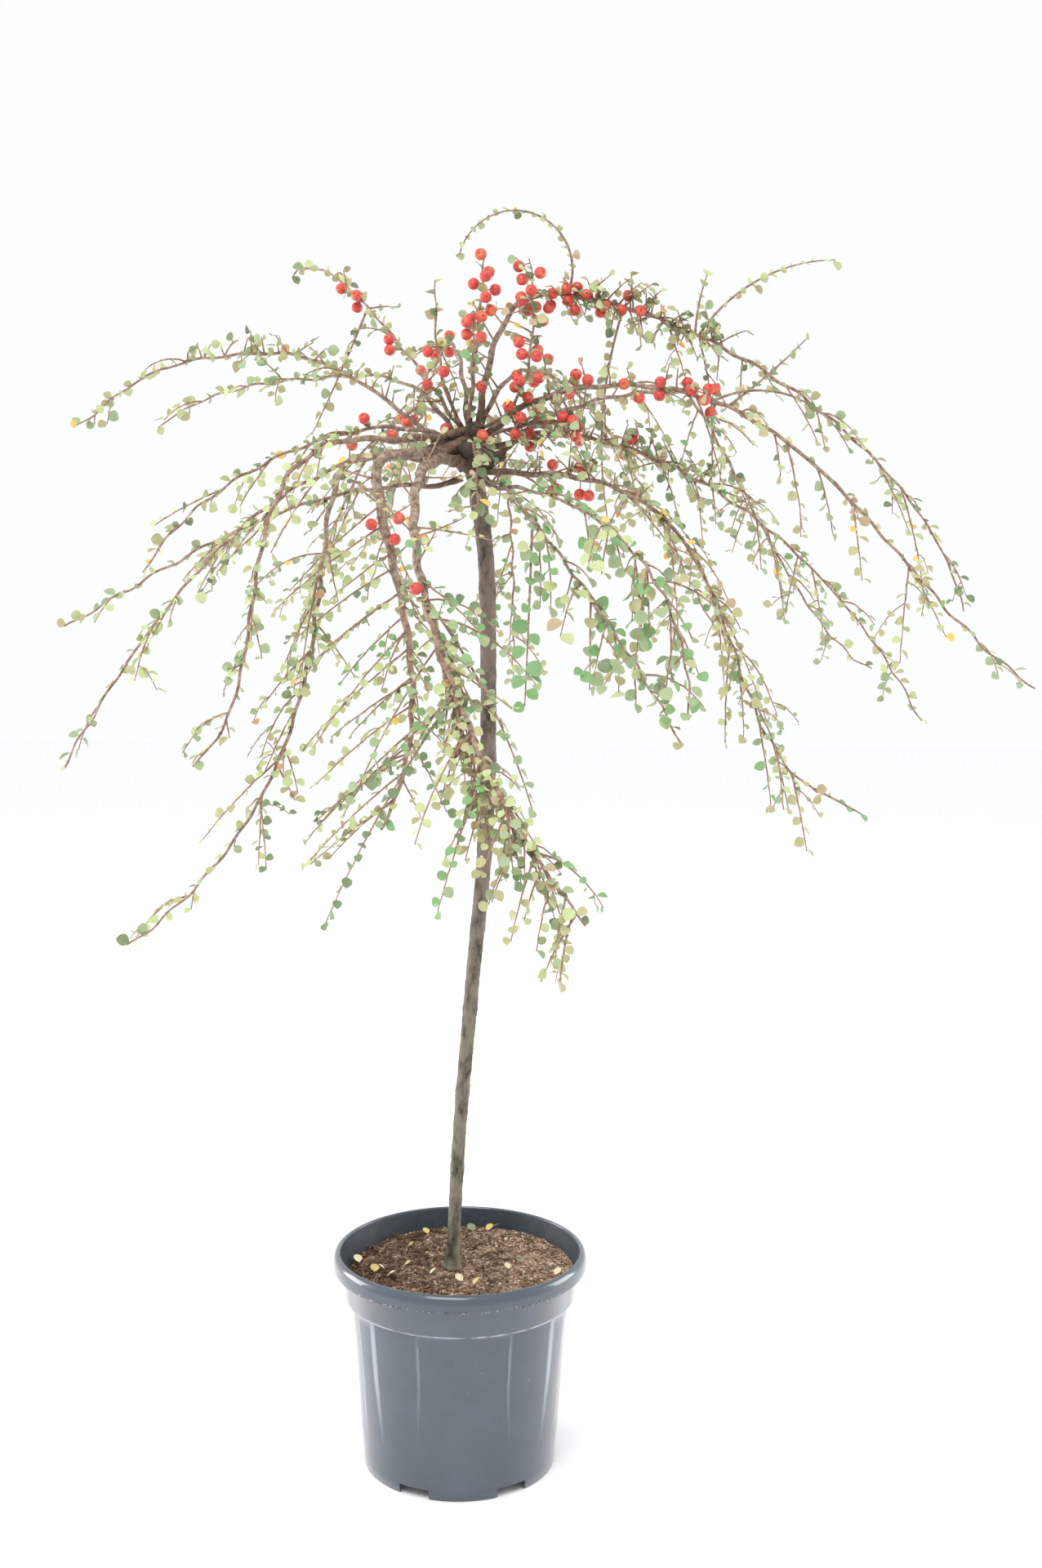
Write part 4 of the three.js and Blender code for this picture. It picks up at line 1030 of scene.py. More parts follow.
    def grow_twig(self, twig, owner, radii, rand, roam=False):
        """A twig with a slight bend at each bud, its twiglets and its leaves, nearly all of one tint."""
        bends = np.array([jolt(rand) for _ in twig.points]) * 2 * BUD_BEND
        bends[0] = 0
        twig = Line(twig.points + bends)
        tint = self.pick_tint(owner, rand)
        room = None if roam else owner
        size = BIG_LEAVES.get(owner, 1)
        self.twigs.append((twig, *radii))
        self.grow_leaves(twig, room, BARE_ROOT["twig"], size, rand, tint)
        if twig.length < LONG_TWIG:
            return
        number = int(twig.length / TWIGLET_SPACING)
        for i in range(number):
            place, along = twig.at((i + TWIGLET_FIRST) / (number + TWIGLET_BEYOND))
            twiglet = twig_line(place, along, side_of(i), vary(TWIGLET_REACH, rand), rand, TWIGLET_STEPS)
            if next(rand) < TWIGLET_SHARE and self.spaces.free(twiglet.points[1:], room):
                self.twigs.append((twiglet, *RADII["twiglet"]))
                self.grow_leaves(twiglet, room, BARE_ROOT["twiglet"], SIZE_ON["twiglet"] * size, rand, tint)

    @staticmethod
    def pick_tint(owner, rand):
        """A tint for a spray, as often as its part of the crown has it."""
        shares = TINT_SHARES[TINTS_OF.get(owner, owner.split("_")[0])]
        mark = next(rand) * sum(shares.values())
        for tint, share in shares.items():
            mark -= share
            if mark <= 0:
                break
        return tint

    def grow_leaves(self, line, room, start, size, rand, tint):
        """Leaves in two rows along a line, turned about it as they will, with a last one at the tip."""
        number = max(1, round((1 - start) * line.length / (self.leaf_spacing * size**0.5)))
        turn = (next(rand) - 0.5) * LEAF_TURN
        for i in range(number):
            place, along = line.at(min(start + (1 - start) * (i + LEAF_FIRST) / number, LAST_LEAF))
            roll = turn + (next(rand) - 0.5) * LEAF_TURN
            self.add_leaf(place, along, side_of(i), roll, size * vary(LEAF_SIZE, rand), room, rand, tint)

    def grow_spurs(self, stem, owner, rand):
        """Small leaves on spurs along a stem, in clusters near its root and single near its tip."""
        number = round(stem.length * SPUR_DENSITY.get(owner, 1) / (self.leaf_spacing * SPUR_SPACING))
        for i in range(number):
            share = (i + next(rand)) / number
            place, along = stem.at(min(share, LAST_LEAF))
            tint = self.pick_tint(owner, rand)
            for _ in range(1 + int(next(rand) * SPUR_CLUSTER * (1 - share))):
                roll = (next(rand) - SPUR_BELOW) * SPUR_TURN
                side = 1 if next(rand) < 0.5 else -1
                size = vary(LEAF_SIZE, rand) * (SPUR_LEAF[0] + SPUR_LEAF[1] * share)
                self.add_leaf(place, along, side, roll, size, owner, rand, tint)

    def add_leaf(self, place, along, side, roll, size, room, rand, tint):
        """Adds one leaf where its blade stays in the room. Its upper side faces up and away from the stem."""
        level = level_beside(along) * side
        above = unit(np.cross(level, along)) * side
        out = level * math.cos(roll) + above * math.sin(roll)
        axis = unit(along * math.cos(LEAF_ANGLE) + out * math.sin(LEAF_ANGLE))
        axis = unit(axis + LEAF_STRAY * jolt(rand))
        away = unit((place - HEAD) * (1, 1, 0) + (0, -1e-3, 0))
        facing = UP * FACE_UP + away * FACE_OUT + jolt(rand) * FACE_STRAY
        facing = unit(facing - axis * facing.dot(axis))
        if next(rand) < STRAY_TINT:
            tint = self.pick_tint(STRAY_OF.get(tint, "stray"), rand)
        length = self.leaf_length * size
        if self.spaces.free(np.array((place + axis * length * BLADE_MIDDLE, place + axis * length)), room):
            self.leaves[tint].append((place, axis, np.cross(facing, axis), length))

    def add_berry(self, line, share, rand):
        """One berry on a short stalk close to its stem, at the first try that is clear of the others."""
        for _ in range(BERRY_TRIES):
            place, along = line.at(np.clip(share + (next(rand) - 0.5) * CLUSTER_LENGTH / line.length, 0, 1))
            out = unit(jolt(rand) + BERRY_LEAN)
            out = unit(out - along * out.dot(along))
            middle = place + out * self.berry_radius * vary(BERRY_STALK, rand)
            gaps = [np.linalg.norm(middle - other) for other, _ in self.berries]
            if not gaps or min(gaps) > self.berry_radius * BERRY_DISTANCE:
                self.berries.append((middle, out))
                self.stalks.append((Line((place, middle)), *RADII["stalk"]))
                return


@functools.lru_cache(maxsize=1)
def grown(leaf_spacing, leaf_length, berry_radius):
    """The growth for these sizes, worked out once."""
    return Growth(leaf_spacing, leaf_length, berry_radius)


def growth_of(settings):
    """The growth for the panel's sizes."""
    leaves, berries = settings.leaves, settings.berries
    return grown(leaves.spacing / MM, leaves.length / MM, berries.diameter / 2 / MM)


# Settings


def metres(name, description, default):
    """A length of the panel."""
    return bpy.props.FloatProperty(name=name, description=description, default=default, unit="LENGTH")


def tone(name, description, hexcode):
    """A colour of the panel."""
    return bpy.props.FloatVectorProperty(
        name=name, description=description, size=4, default=linear(hexcode), subtype="COLOR"
    )


def number_of(name, description, default, least):
    """A number of the panel."""
    return bpy.props.IntProperty(name=name, description=description, default=default, min=least)


class PotSizes(bpy.types.PropertyGroup):
    """The pot, as a maker would measure it."""

    height: metres("Height", "Height of the pot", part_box("pot")[1].z)
    rim_radius: metres("Rim radius", "Outside of the rolled rim", 0.134)
    rim_depth: metres("Rim depth", "Height of the rolled rim", 0.018)
    opening_radius: metres("Opening radius", "Inside of the rim", 0.1255)
    shoulder_radius: metres("Shoulder radius", "Outside of the band under the rim", 0.123)
    shoulder_depth: metres("Shoulder depth", "Height of the band under the rim", 0.03)
    wall_top_radius: metres("Wall top radius", "Outside of the wall under the shoulder", 0.1175)
    base_radius: metres("Base radius", "Outside of the wall at the ground", 0.101)
    wall: metres("Wall", "Thickness of the plastic", 0.0025)
    floor_height: metres("Floor height", "Height of the raised floor", 0.012)
    pad_radius: metres("Pad radius", "Radius of the pad that stands on the ground", 0.045)
    notches: number_of("Notches", "Drain notches in the foot ring", 6, 1)
    notch_width: metres("Notch width", "Width of a drain notch", 0.034)
    notch_height: metres("Notch height", "Height of a drain notch", 0.01)
    first_notch: bpy.props.FloatProperty(
        name="First notch",
        description="Direction of the first notch",
        default=math.radians(4),
        subtype="ANGLE",
    )
    flute_depth: metres("Flute depth", "How far the flutes are pressed in under the shoulder", 0.0019)


class SoilSizes(bpy.types.PropertyGroup):
    """The potting soil and what lies on it."""

    height: metres("Height", "Height of the soil at the stem", 0.205)
    crumbs: number_of("Crumbs", "Loose crumbs and chips", 6200, 0)
    fallen_leaves: number_of("Fallen leaves", "Dropped leaves on the soil", 26, 0)


class WoodSizes(bpy.types.PropertyGroup):
    """The clear stem and the boughs."""

    radius_low: metres("Foot radius", "Radius of the stem above its flare", 0.007)
    radius_high: metres("Neck radius", "Radius of the stem under the graft", 0.0088)
    flare_radius: metres("Flare radius", "Radius at the soil", 0.0115)
    flare_height: metres("Flare height", "Height in which the flare dies out", 0.009)
    relief: metres("Relief", "Height of the bark's relief", 0.0012)
    grain: metres("Mesh grain", "Size of the faces that carry the relief", 0.0013)


class LeafSizes(bpy.types.PropertyGroup):
    """The leaves, in two rows along every twig."""

    length: metres("Length", "Length of a leaf with its stalk", 0.0124)
    width: bpy.props.FloatProperty(name="Width", description="Width as a share of the length", default=0.84)
    spacing: metres("Spacing", "Distance between neighbours on a twig", 0.0112)


class BerrySizes(bpy.types.PropertyGroup):
    """The berries, in clusters near the middle of the crown."""

    diameter: metres("Diameter", "Diameter of a berry", 0.0118)


class Colours(bpy.types.PropertyGroup):
    """The colours a user would change first."""

    pot: tone("Pot", "Moulded plastic", "#37424d")
    stem: tone("Stem", "Bark of the clear stem", "#6f6258")
    berry: tone("Berry", "Ripe berry skin", "#c84a42")
    floor: tone("Floor", "Studio floor", "#fbfbfc")


class CotoneasterSettings(bpy.types.PropertyGroup):
    """All settings of the plant."""

    pot: bpy.props.PointerProperty(type=PotSizes)
    soil: bpy.props.PointerProperty(type=SoilSizes)
    wood: bpy.props.PointerProperty(type=WoodSizes)
    leaves: bpy.props.PointerProperty(type=LeafSizes)
    berries: bpy.props.PointerProperty(type=BerrySizes)
    colours: bpy.props.PointerProperty(type=Colours)


# Pieces


# How the pot and the soil are turned: the segments round them, the rings of the pot's wall and of the soil's
# top, the radius at which a disc starts, and the rounds of the rim and the opening in metres
POT_SEGMENTS = 480
SOIL_SEGMENTS = 240
WALL_RINGS = 26
SOIL_RINGS = 62
DISC_START = 0.001
RIM_ROLL = [
    (0, 0.003), (0, 0.0075), (-0.0005, 0.0115), (-0.0016, 0.0145), (-0.0032, 0.0168), (-0.005, 0.0178),
]
OPENING_ROUND = 0.003

# How far a drain notch stops short of the pad and is cut past the wall, in metres, and the sharpest edge of
# the pot that is shaded as a curve, in degrees
NOTCH_SHORT = 0.012
NOTCH_PAST = 0.005
CURVED_UP_TO = 42

# The middles of the flutes, their width and their edge, in degrees, repeated from the middle of each plain
# panel. They end at a share of the wall's height, with a share of their width, and widen and deepen above it
FLUTE_PERIOD = 120
FLUTE_TURN = 34
FLUTES = (38.8, 81.2)
FLUTE_WIDTH = 29.6
FLUTE_EDGE = 1.1
FLUTE_END = 0.24
FLUTE_NARROWING = (0.84, 0.3)
FLUTE_DEEPENING = 1.6

# How far, in degrees, the painted highlight reaches to each side of the steps along the narrow ribs, and how
# fast it comes in above the flutes' end
RIB_HIGHLIGHT_REACH = 1.7
HIGHLIGHT_RISE = 1.8

# The soil in metres: its low ring of mound, how far it has settled at the wall from a share of its radius on,
# how much higher it is heaped at the back right, how much of that is at the back and from which share of the
# radius on, how far its edge is tucked into the wall, and a height just under its top
MOUND = 0.003
MOUND_END = 0.95
SETTLED = 0.003
SETTLED_FROM = 0.85
HEAP = 0.0125
HEAP_BACK = 0.62
HEAP_FROM = 0.1
TUCK = 0.0006
UNDER_TOP = 0.195

# The soil's tints, each with its place on the pattern's scale, and what lies loose on it: a share of the
# crumbs, their size in millimetres and their tints
SOIL_TINTS = [(0.34, "#40332a"), (0.47, "#937b68"), (0.6, "#c2a58c"), (0.72, "#efdcc2")]
CRUMBS = {
    "soil_crumbs": (0.62, (0.45, 1.0), [(0.38, "#413229"), (0.5, "#907562"), (0.62, "#c7a88e")]),
    "bark_chips": (0.27, (0.7, 2.7), [(0.38, "#4c382d"), (0.5, "#a5866f"), (0.62, "#dcbfa3")]),
    "pale_chips": (0.18, (0.5, 1.7), [(0.4, "#b79c82"), (0.5, "#dccab0"), (0.6, "#f2e8d8")]),
}

# The seed of what lies on the soil, a crumb's length, width and height for its size, and in millimetres how
# high its middle lies and how far crumbs and leaves keep clear of the wall and the stem
SOIL_SEED = 91
CRUMB_SHAPE = (1.25, 0.9, 0.55)
CRUMB_LIFT = 0.6
WALL_CLEARANCE = 3
STEM_CLEARANCE = 13

# Where dropped leaves lie in the photograph, in millimetres, their tints, length and height off the soil, and
# how they are turned up at the tip, rolled, folded and curled
FALLEN = [
    (-90, -11), (-79, -4), (-64, -30), (-60, 5), (-32, -19), (-21, -35), (-11, -54), (5, -36),
    (23, 28), (25, 98), (52, -9), (53, -27), (66, -44), (-77, -24), (66, 10),
]
FALLEN_TINTS = {"gold": "#cfb872", "pale": "#dccfae", "green": "#87906c"}
FALLEN_LENGTH = (8, 5)
FALLEN_LIFT = 1.8
FALLEN_ANGLE = 15
FALLEN_RISE = 0.1
FALLEN_ROLL = 0.8
FALLEN_FOLD = 0.35
FALLEN_CURL = -0.22

# The rings of points up the stem, how many millimetres under the graft's middle it ends, the faint girdles
# that old buds left on it, their height in metres and how narrow they are, and how far under the soil's top
# its foot is cut level
STEM_RINGS = 150
NECK_BELOW = 10
GIRDLES = 61
GIRDLE_HEIGHT = 0.0007
GIRDLE_EDGE = 12
CUT_BELOW = 0.0012

# The graft's knots: middle and radius in millimetres, and how tall each is for its width
GRAFT_LUMPS = [
    (HEAD, 17, 1.3),
    ((25, -8, 1056), 13, 0.85),
    ((-13, -8, 1060), 14, 0.85),
    ((-2, 8, 1066), 13, 0.95),
    ((18, 8, 1070), 12, 0.9),
    ((12, -6, 1082), 11, 0.85),
    ((-17, 2, 1070), 11, 0.8),
    ((37, -10, 1058), 8, 0.85),
    ((-29, -7, 1062), 9, 0.8),
    ((6, -19, 1064), 10, 0.9),
]

# A bough's collar at the head and the knots along it: how high they stand as shares of its radius, the length
# in which the collar dies out in millimetres, the knots' wave in radians for a millimetre, how it shifts from
# bough to bough, and how narrow the knots are
COLLAR = 0.3
COLLAR_LENGTH = 14
KNOT = 0.14
KNOT_WAVE = 0.24
KNOT_SHIFT = 9
KNOT_EDGE = 6

# A berry's rings and sides, the height of its outer end, and its dimple: how deep, and the angle from the
# stalk's end at which it starts and the one in which it deepens, in radians. The calyx has short lobes: how
# far their corners reach, half their width and their rise. Lengths are shares of the radius
BERRY_RINGS = 9
BERRY_SIDES = 14
BERRY_END = 0.8
DIMPLE = 0.16
DIMPLE_FROM = 2.4
DIMPLE_OVER = 0.75
CALYX_LOBES = 5
LOBE_REACH = (0.17, 0.22)
LOBE_HALF = 0.07
LOBE_RISE = 0.1

# The photograph's camera, worked out from the pot's ellipses: metres, degrees, radians and millimetres
CAMERA_PLACE = (0.061, -1.957, 0.981)
CAMERA_TILT = 82.59
CAMERA_ROLL = 0.0068
CAMERA_LENS = 44.22

# The floor's width and how far it lies under the pot, in metres, and the light of the room
FLOOR_SIZE = 14
FLOOR_DROP = 0.0005
ROOM_LIGHT = ("#fdfeff", 1.0)

# The soft boxes: place, target, watts and width in metres
SOFT_BOXES = {
    "left_box": ((-2.2, 0.6, 0.9), (0, 0, 0.5), 32, 1.2),
    "right_box": ((2.2, 0.6, 0.9), (0, 0, 0.5), 26, 1.2),
    "top_box": ((-0.4, -1.8, 3.2), (0, 0, 0.7), 56, 1.8),
}


def turned(profile, segments):
    """A disc drawn through a profile of (radius, height), as on a lathe, and closed at its end."""
    select_only()
    bpy.ops.mesh.primitive_circle_add(vertices=segments, radius=profile[0][0], fill_type="NGON")
    obj = bpy.context.object
    bpy.ops.object.mode_set(mode="EDIT")
    bpy.ops.mesh.select_mode(type="EDGE")
    bpy.ops.mesh.select_all(action="SELECT")
    bpy.ops.transform.translate(value=(0, 0, profile[0][1]))
    for (radius, height), (wider, higher) in zip(profile, profile[1:]):
        bpy.ops.mesh.extrude_edges_move(TRANSFORM_OT_translate={"value": (0, 0, higher - height)})
        scale = wider / radius
        bpy.ops.transform.resize(value=(scale, scale, 1), center_override=(0, 0, higher))
    bpy.ops.mesh.edge_face_add()
    bpy.ops.mesh.select_all(action="SELECT")
    bpy.ops.mesh.normals_make_consistent(inside=False)
    bpy.ops.object.mode_set(mode="OBJECT")
    return obj


def apply_modifier(obj, kind, **settings):
    """Adds a modifier with its settings and applies it."""
    modifier = obj.modifiers.new(kind.title(), kind)
    for name, value in settings.items():
        setattr(modifier, name, value)
    select_only(obj)
    bpy.ops.object.modifier_apply(modifier=modifier.name)


def roughen(obj, name, size, height, middle, **settings):
    """Gives a mesh relief: soft noise with lumps about size metres across, raised above its middle."""
    texture = bpy.data.textures.new(name, "CLOUDS")
    texture.noise_scale = size
    texture.noise_depth = 3
    apply_modifier(obj, "DISPLACE", texture=texture, strength=height, mid_level=middle, **settings)


def shoulder_foot(pot):
    """The height at which the wall meets the shoulder."""
    return pot.height - pot.rim_depth - pot.shoulder_depth


def inner_radius(pot, height):
    """The inside of the pot above the foot of its shoulder: a plain cone up to the opening."""
    foot = shoulder_foot(pot)
    share = (height - foot) / (pot.height - OPENING_ROUND - foot)
    low = pot.wall_top_radius - pot.wall + 0.001
    return low + (pot.opening_radius - low) * share


def pot_profile(pot):
    """The pot's section from the middle of its underside, up the outside and down the inside."""
    foot, lip = shoulder_foot(pot), pot.height - pot.rim_depth
    inner_base = pot.base_radius - pot.wall
    outside = [
        (DISC_START, 0),
        (pot.pad_radius, 0),
        (pot.pad_radius + 0.002, pot.floor_height),
        (inner_base - 0.001, pot.floor_height),
        (inner_base, 0.0006),
        (inner_base + 0.0006, 0),
        (pot.base_radius - 0.0008, 0),
        (pot.base_radius, 0.0008),
    ]
    slope = (pot.wall_top_radius - pot.base_radius) / foot
    outside += [(pot.base_radius + slope * z, z) for z in np.linspace(0.01, foot - 0.004, WALL_RINGS)]
    outside += [
        (pot.wall_top_radius + 0.001, foot - 0.0025),
        (pot.shoulder_radius - 0.003, foot - 0.0012),
        (pot.shoulder_radius - 0.0015, foot + 0.0005),
        (pot.shoulder_radius, lip - 0.0012),
        (pot.shoulder_radius + 0.001, lip),
        (pot.rim_radius - 0.0022, lip),
        (pot.rim_radius - 0.0006, lip + 0.0008),
    ]
    outside += [(pot.rim_radius + r, lip + z) for r, z in RIM_ROLL]
    outside += [
        (pot.opening_radius + 0.0016, pot.height - 0.0002),
        (pot.opening_radius + 0.0005, pot.height - 0.0012),
        (pot.opening_radius, pot.height - OPENING_ROUND),
    ]
    inside = [
        (inner_radius(pot, foot), foot),
        (pot.wall_top_radius - pot.wall, foot - 0.004),
        (pot.base_radius + 0.001 - pot.wall, pot.floor_height + pot.wall),
        (DISC_START, pot.floor_height + pot.wall),
    ]
    return outside + inside


def press_flutes(obj, pot):
    """Presses shallow flutes into the wall, deepest under the shoulder and gone well above the ground.

    An attribute of the mesh keeps how strongly a painted highlight lightens the wall along the narrow ribs.
    """
    foot = shoulder_foot(pot)
    slope = (pot.wall_top_radius - pot.base_radius) / foot
    group = obj.vertex_groups.new(name="flutes")
    rib_highlight = [0.0] * len(obj.data.vertices)
    for vertex in obj.data.vertices:
        x, y, z = vertex.co
        rise = (z / foot - FLUTE_END) / (1 - FLUTE_END)
        if not 0 < rise < 0.98 or abs(math.hypot(x, y) - pot.base_radius - slope * z) > pot.wall / 2:
            continue
        turn = (math.degrees(math.atan2(y, x)) - FLUTE_TURN) % FLUTE_PERIOD
        for middle in FLUTES:
            half = FLUTE_WIDTH / 2 * min(1, FLUTE_NARROWING[0] + FLUTE_NARROWING[1] * rise)
            inside = half - abs(turn - middle)
            if inside > 0:
                depth = min(1, inside / FLUTE_EDGE) * min(1, FLUTE_DEEPENING * rise)
                group.add([vertex.index], depth, "REPLACE")
            # A painted highlight lies along one edge of each flute
            if (turn - middle) * (FLUTE_PERIOD / 2 - middle) > 0:
                near = 1 - abs(inside - FLUTE_EDGE / 2) / RIB_HIGHLIGHT_REACH
                rib_highlight[vertex.index] = max(rib_highlight[vertex.index], near * min(1, HIGHLIGHT_RISE * rise))
    obj.data.attributes.new("rib_highlight", "FLOAT", "POINT").data.foreach_set("value", rib_highlight)
    apply_modifier(obj, "DISPLACE", strength=-pot.flute_depth, mid_level=0, vertex_group="flutes")


class COTONEASTER_OT_pot(bpy.types.Operator):
    """Turn the nursery pot, press its flutes and cut its drain notches"""

    bl_idname = "cotoneaster.pot"
    bl_label = "Pot"

    def execute(self, context):
        settings = context.scene.cotoneaster
        pot = settings.pot
        shell = turned(pot_profile(pot), POT_SEGMENTS)
        press_flutes(shell, pot)
        cutters = []
        depth = pot.base_radius - pot.pad_radius - NOTCH_SHORT
        for i in range(pot.notches):
            select_only()
            angle = pot.first_notch + 2 * math.pi * i / pot.notches
            reach = pot.base_radius + NOTCH_PAST - depth / 2
            place = (reach * math.cos(angle), reach * math.sin(angle), 0)
            bpy.ops.mesh.primitive_cube_add(size=1, location=place, rotation=(0, 0, angle))
            size = (depth, pot.notch_width, pot.notch_height * 2)
            bpy.ops.transform.resize(value=size, orient_type="LOCAL")
            cutters.append(bpy.context.object)
        select_only(*cutters)
        bpy.ops.object.join()
        cutter = bpy.context.object
        apply_modifier(shell, "BOOLEAN", operation="DIFFERENCE", solver="EXACT", object=cutter)
        bpy.data.objects.remove(cutter)
        plastic = pot_material(settings.colours, pot.height - pot.rim_depth, shoulder_foot(pot))
        dress(shell, "pot_shell", plastic, ["pot"])
        shell.data.materials.append(inside_material(settings.colours))
        for face in shell.data.polygons:
            inward = face.normal.xy.dot(face.center.xy) < 0
            if inward and pot.floor_height < face.center.z < pot.height - 0.002:
                face.material_index = 1
        select_only(shell)
        bpy.ops.object.shade_smooth_by_angle(angle=math.radians(CURVED_UP_TO))
        return {"FINISHED"}


class COTONEASTER_OT_soil(bpy.types.Operator):
    """Fill the pot with compost and scatter crumbs, chips and fallen leaves on it"""

    bl_idname = "cotoneaster.soil"
    bl_label = "Soil"

    def execute(self, context):
        settings = context.scene.cotoneaster
        soil, pot = settings.soil, settings.pot
        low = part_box("soil")[0].z
        edge = inner_radius(pot, soil.height) + TUCK
        bottom = pot.base_radius - pot.wall
        shoulder = (pot.wall_top_radius - pot.wall - 0.0008, shoulder_foot(pot) - 0.005)
        top = [(r, self.level(r, edge, soil.height)) for r in np.linspace(edge, 0.002, SOIL_RINGS)]
        fill = turned([(DISC_START, low), (bottom, low), shoulder, *top], SOIL_SEGMENTS)
        heaped = fill.vertex_groups.new(name="heaped")
        for vertex in fill.data.vertices:
            if vertex.co.z > UNDER_TOP:
                heaped.add([vertex.index], self.heap(vertex.co.x, vertex.co.y, edge), "REPLACE")
        apply_modifier(fill, "DISPLACE", strength=HEAP, mid_level=0, direction="Z", vertex_group="heaped")
        group = fill.vertex_groups.new(name="top")
        inner = [v.index for v in fill.data.vertices if v.co.z > UNDER_TOP and v.co.xy.length < edge - 0.0005]
        group.add(inner, 1, "ADD")
        roughen(fill, "heaps", 0.02, 0.008, 0.55, direction="Z", vertex_group="top")
        roughen(fill, "clods", 0.006, 0.006, 0.55, direction="Z", vertex_group="top")
        dress(fill, "soil_fill", soil_material("peat_compost", SOIL_TINTS), ["soil"])
        rand = seeded(SOIL_SEED)
        for name, (share, size, tints) in CRUMBS.items():
            pile = Pile()
            for _ in range(int(soil.crumbs * share)):
                pile.add(*self.crumb(edge, soil.height, size, rand))
            dress(pile.build(name), name, soil_material(name, tints), smooth=False)
        self.drop_leaves(edge, soil, rand)
        return {"FINISHED"}

    @staticmethod
    def level(radius, edge, height):
        """The soil's height at a radius: flat at the stem, a low ring of mound, and settled at the wall."""
        share = radius / edge
        mound = MOUND * math.sin(math.pi * min(1, share / MOUND_END)) ** 2
        return height + mound - SETTLED * max(0, share - SETTLED_FROM) / (1 - SETTLED_FROM)

    @staticmethod
    def heap(x, y, edge):
        """The share of its full height that the heap has at a place: it rises to the back and the right."""
        back, right = (max(0, part / edge - HEAP_FROM) / (1 - HEAP_FROM) for part in (y, x))
        return HEAP_BACK * back + (1 - HEAP_BACK) * right

    def surface(self, x, y, edge, height):
        """A place on the soil's surface, in millimetres."""
        z = self.level(math.hypot(x, y), edge, height) + HEAP * self.heap(x, y, edge)
        return np.array((x, y, z)) / MM

    def spot(self, edge, height, rand):
        """A random place on the soil in millimetres, clear of the wall and the stem."""
        while True:
            reach = (edge - WALL_CLEARANCE * MM) * math.sqrt(next(rand))
            angle = 2 * math.pi * next(rand)
            place = self.surface(reach * math.cos(angle), reach * math.sin(angle), edge, height)
            if np.linalg.norm(place[:2] - STEM_PATH[0][:2]) > STEM_CLEARANCE:
                return place

    def crumb(self, edge, height, size, rand):
        """A lump of eight faces, squashed and turned at random."""
        corners = np.array([(1, 0, 0), (-1, 0, 0), (0, 1, 0), (0, -1, 0), (0, 0, 1), (0, 0, -1)], float)
        shape = np.array([vary(size, rand) for _ in range(3)]) * CRUMB_SHAPE
        corners = corners * shape * np.array([[0.75 + 0.5 * next(rand)] for _ in corners])
        turn = Matrix.Rotation(2 * math.pi * next(rand), 3, "Z") @ Matrix.Rotation(next(rand) - 0.5, 3, "X")
        faces = [(0, 2, 4), (2, 1, 4), (1, 3, 4), (3, 0, 4), (2, 0, 5), (1, 2, 5), (3, 1, 5), (0, 3, 5)]
        return corners @ np.array(turn).T + self.spot(edge, height, rand) + UP * CRUMB_LIFT, faces

    def drop_leaves(self, edge, soil, rand):
        """Dropped leaves lie curled on the soil, where the photograph has them and at random elsewhere."""
        piles = {tint: [] for tint in FALLEN_TINTS}
        spots = [self.surface(x * MM, y * MM, edge, soil.height) for x, y in FALLEN]
        while len(spots) < soil.fallen_leaves:
            spots.append(self.spot(edge, soil.height, rand))
        for i, spot in enumerate(spots[: soil.fallen_leaves]):
            axis = unit(aim(360 * next(rand), FALLEN_ANGLE) + FALLEN_RISE * UP)
            side = unit(np.cross(UP + FALLEN_ROLL * jolt(rand), axis))
            length = vary(FALLEN_LENGTH, rand)
            tint = list(FALLEN_TINTS)[i % len(FALLEN_TINTS)]
            piles[tint].append((spot + UP * FALLEN_LIFT, axis, side, length))
        for tint, leaves in piles.items():
            # A wilted leaf: its skin has dried, so it has lost its shine
            material = new_material(f"wilted_leaf_{tint}", linear(FALLEN_TINTS[tint]), 0.65)
            name = f"fallen_leaves_{tint}"
            dress(leaf_pile(leaves, 0.9, FALLEN_FOLD, FALLEN_CURL).build(name), name, material)


def wood_mesh(name, strands, sides):
    """Strands of wood as one mesh: each is a bevelled curve of points with a radius at each, in metres."""
    curve = bpy.data.curves.new(name, "CURVE")
    curve.dimensions = "3D"
    curve.bevel_depth = 1
    curve.bevel_resolution = sides // 4
    curve.use_fill_caps = True
    for points, radii in strands:
        spline = curve.splines.new("POLY")
        spline.points.add(len(points) - 1)
        spline.points.foreach_set("co", np.column_stack((points, np.ones(len(points)))).ravel())
        spline.points.foreach_set("radius", radii)
    obj = bpy.data.objects.new(name, curve)
    bpy.context.scene.collection.objects.link(obj)
    select_only(obj)
    bpy.ops.object.convert(target="MESH")
    return bpy.context.object


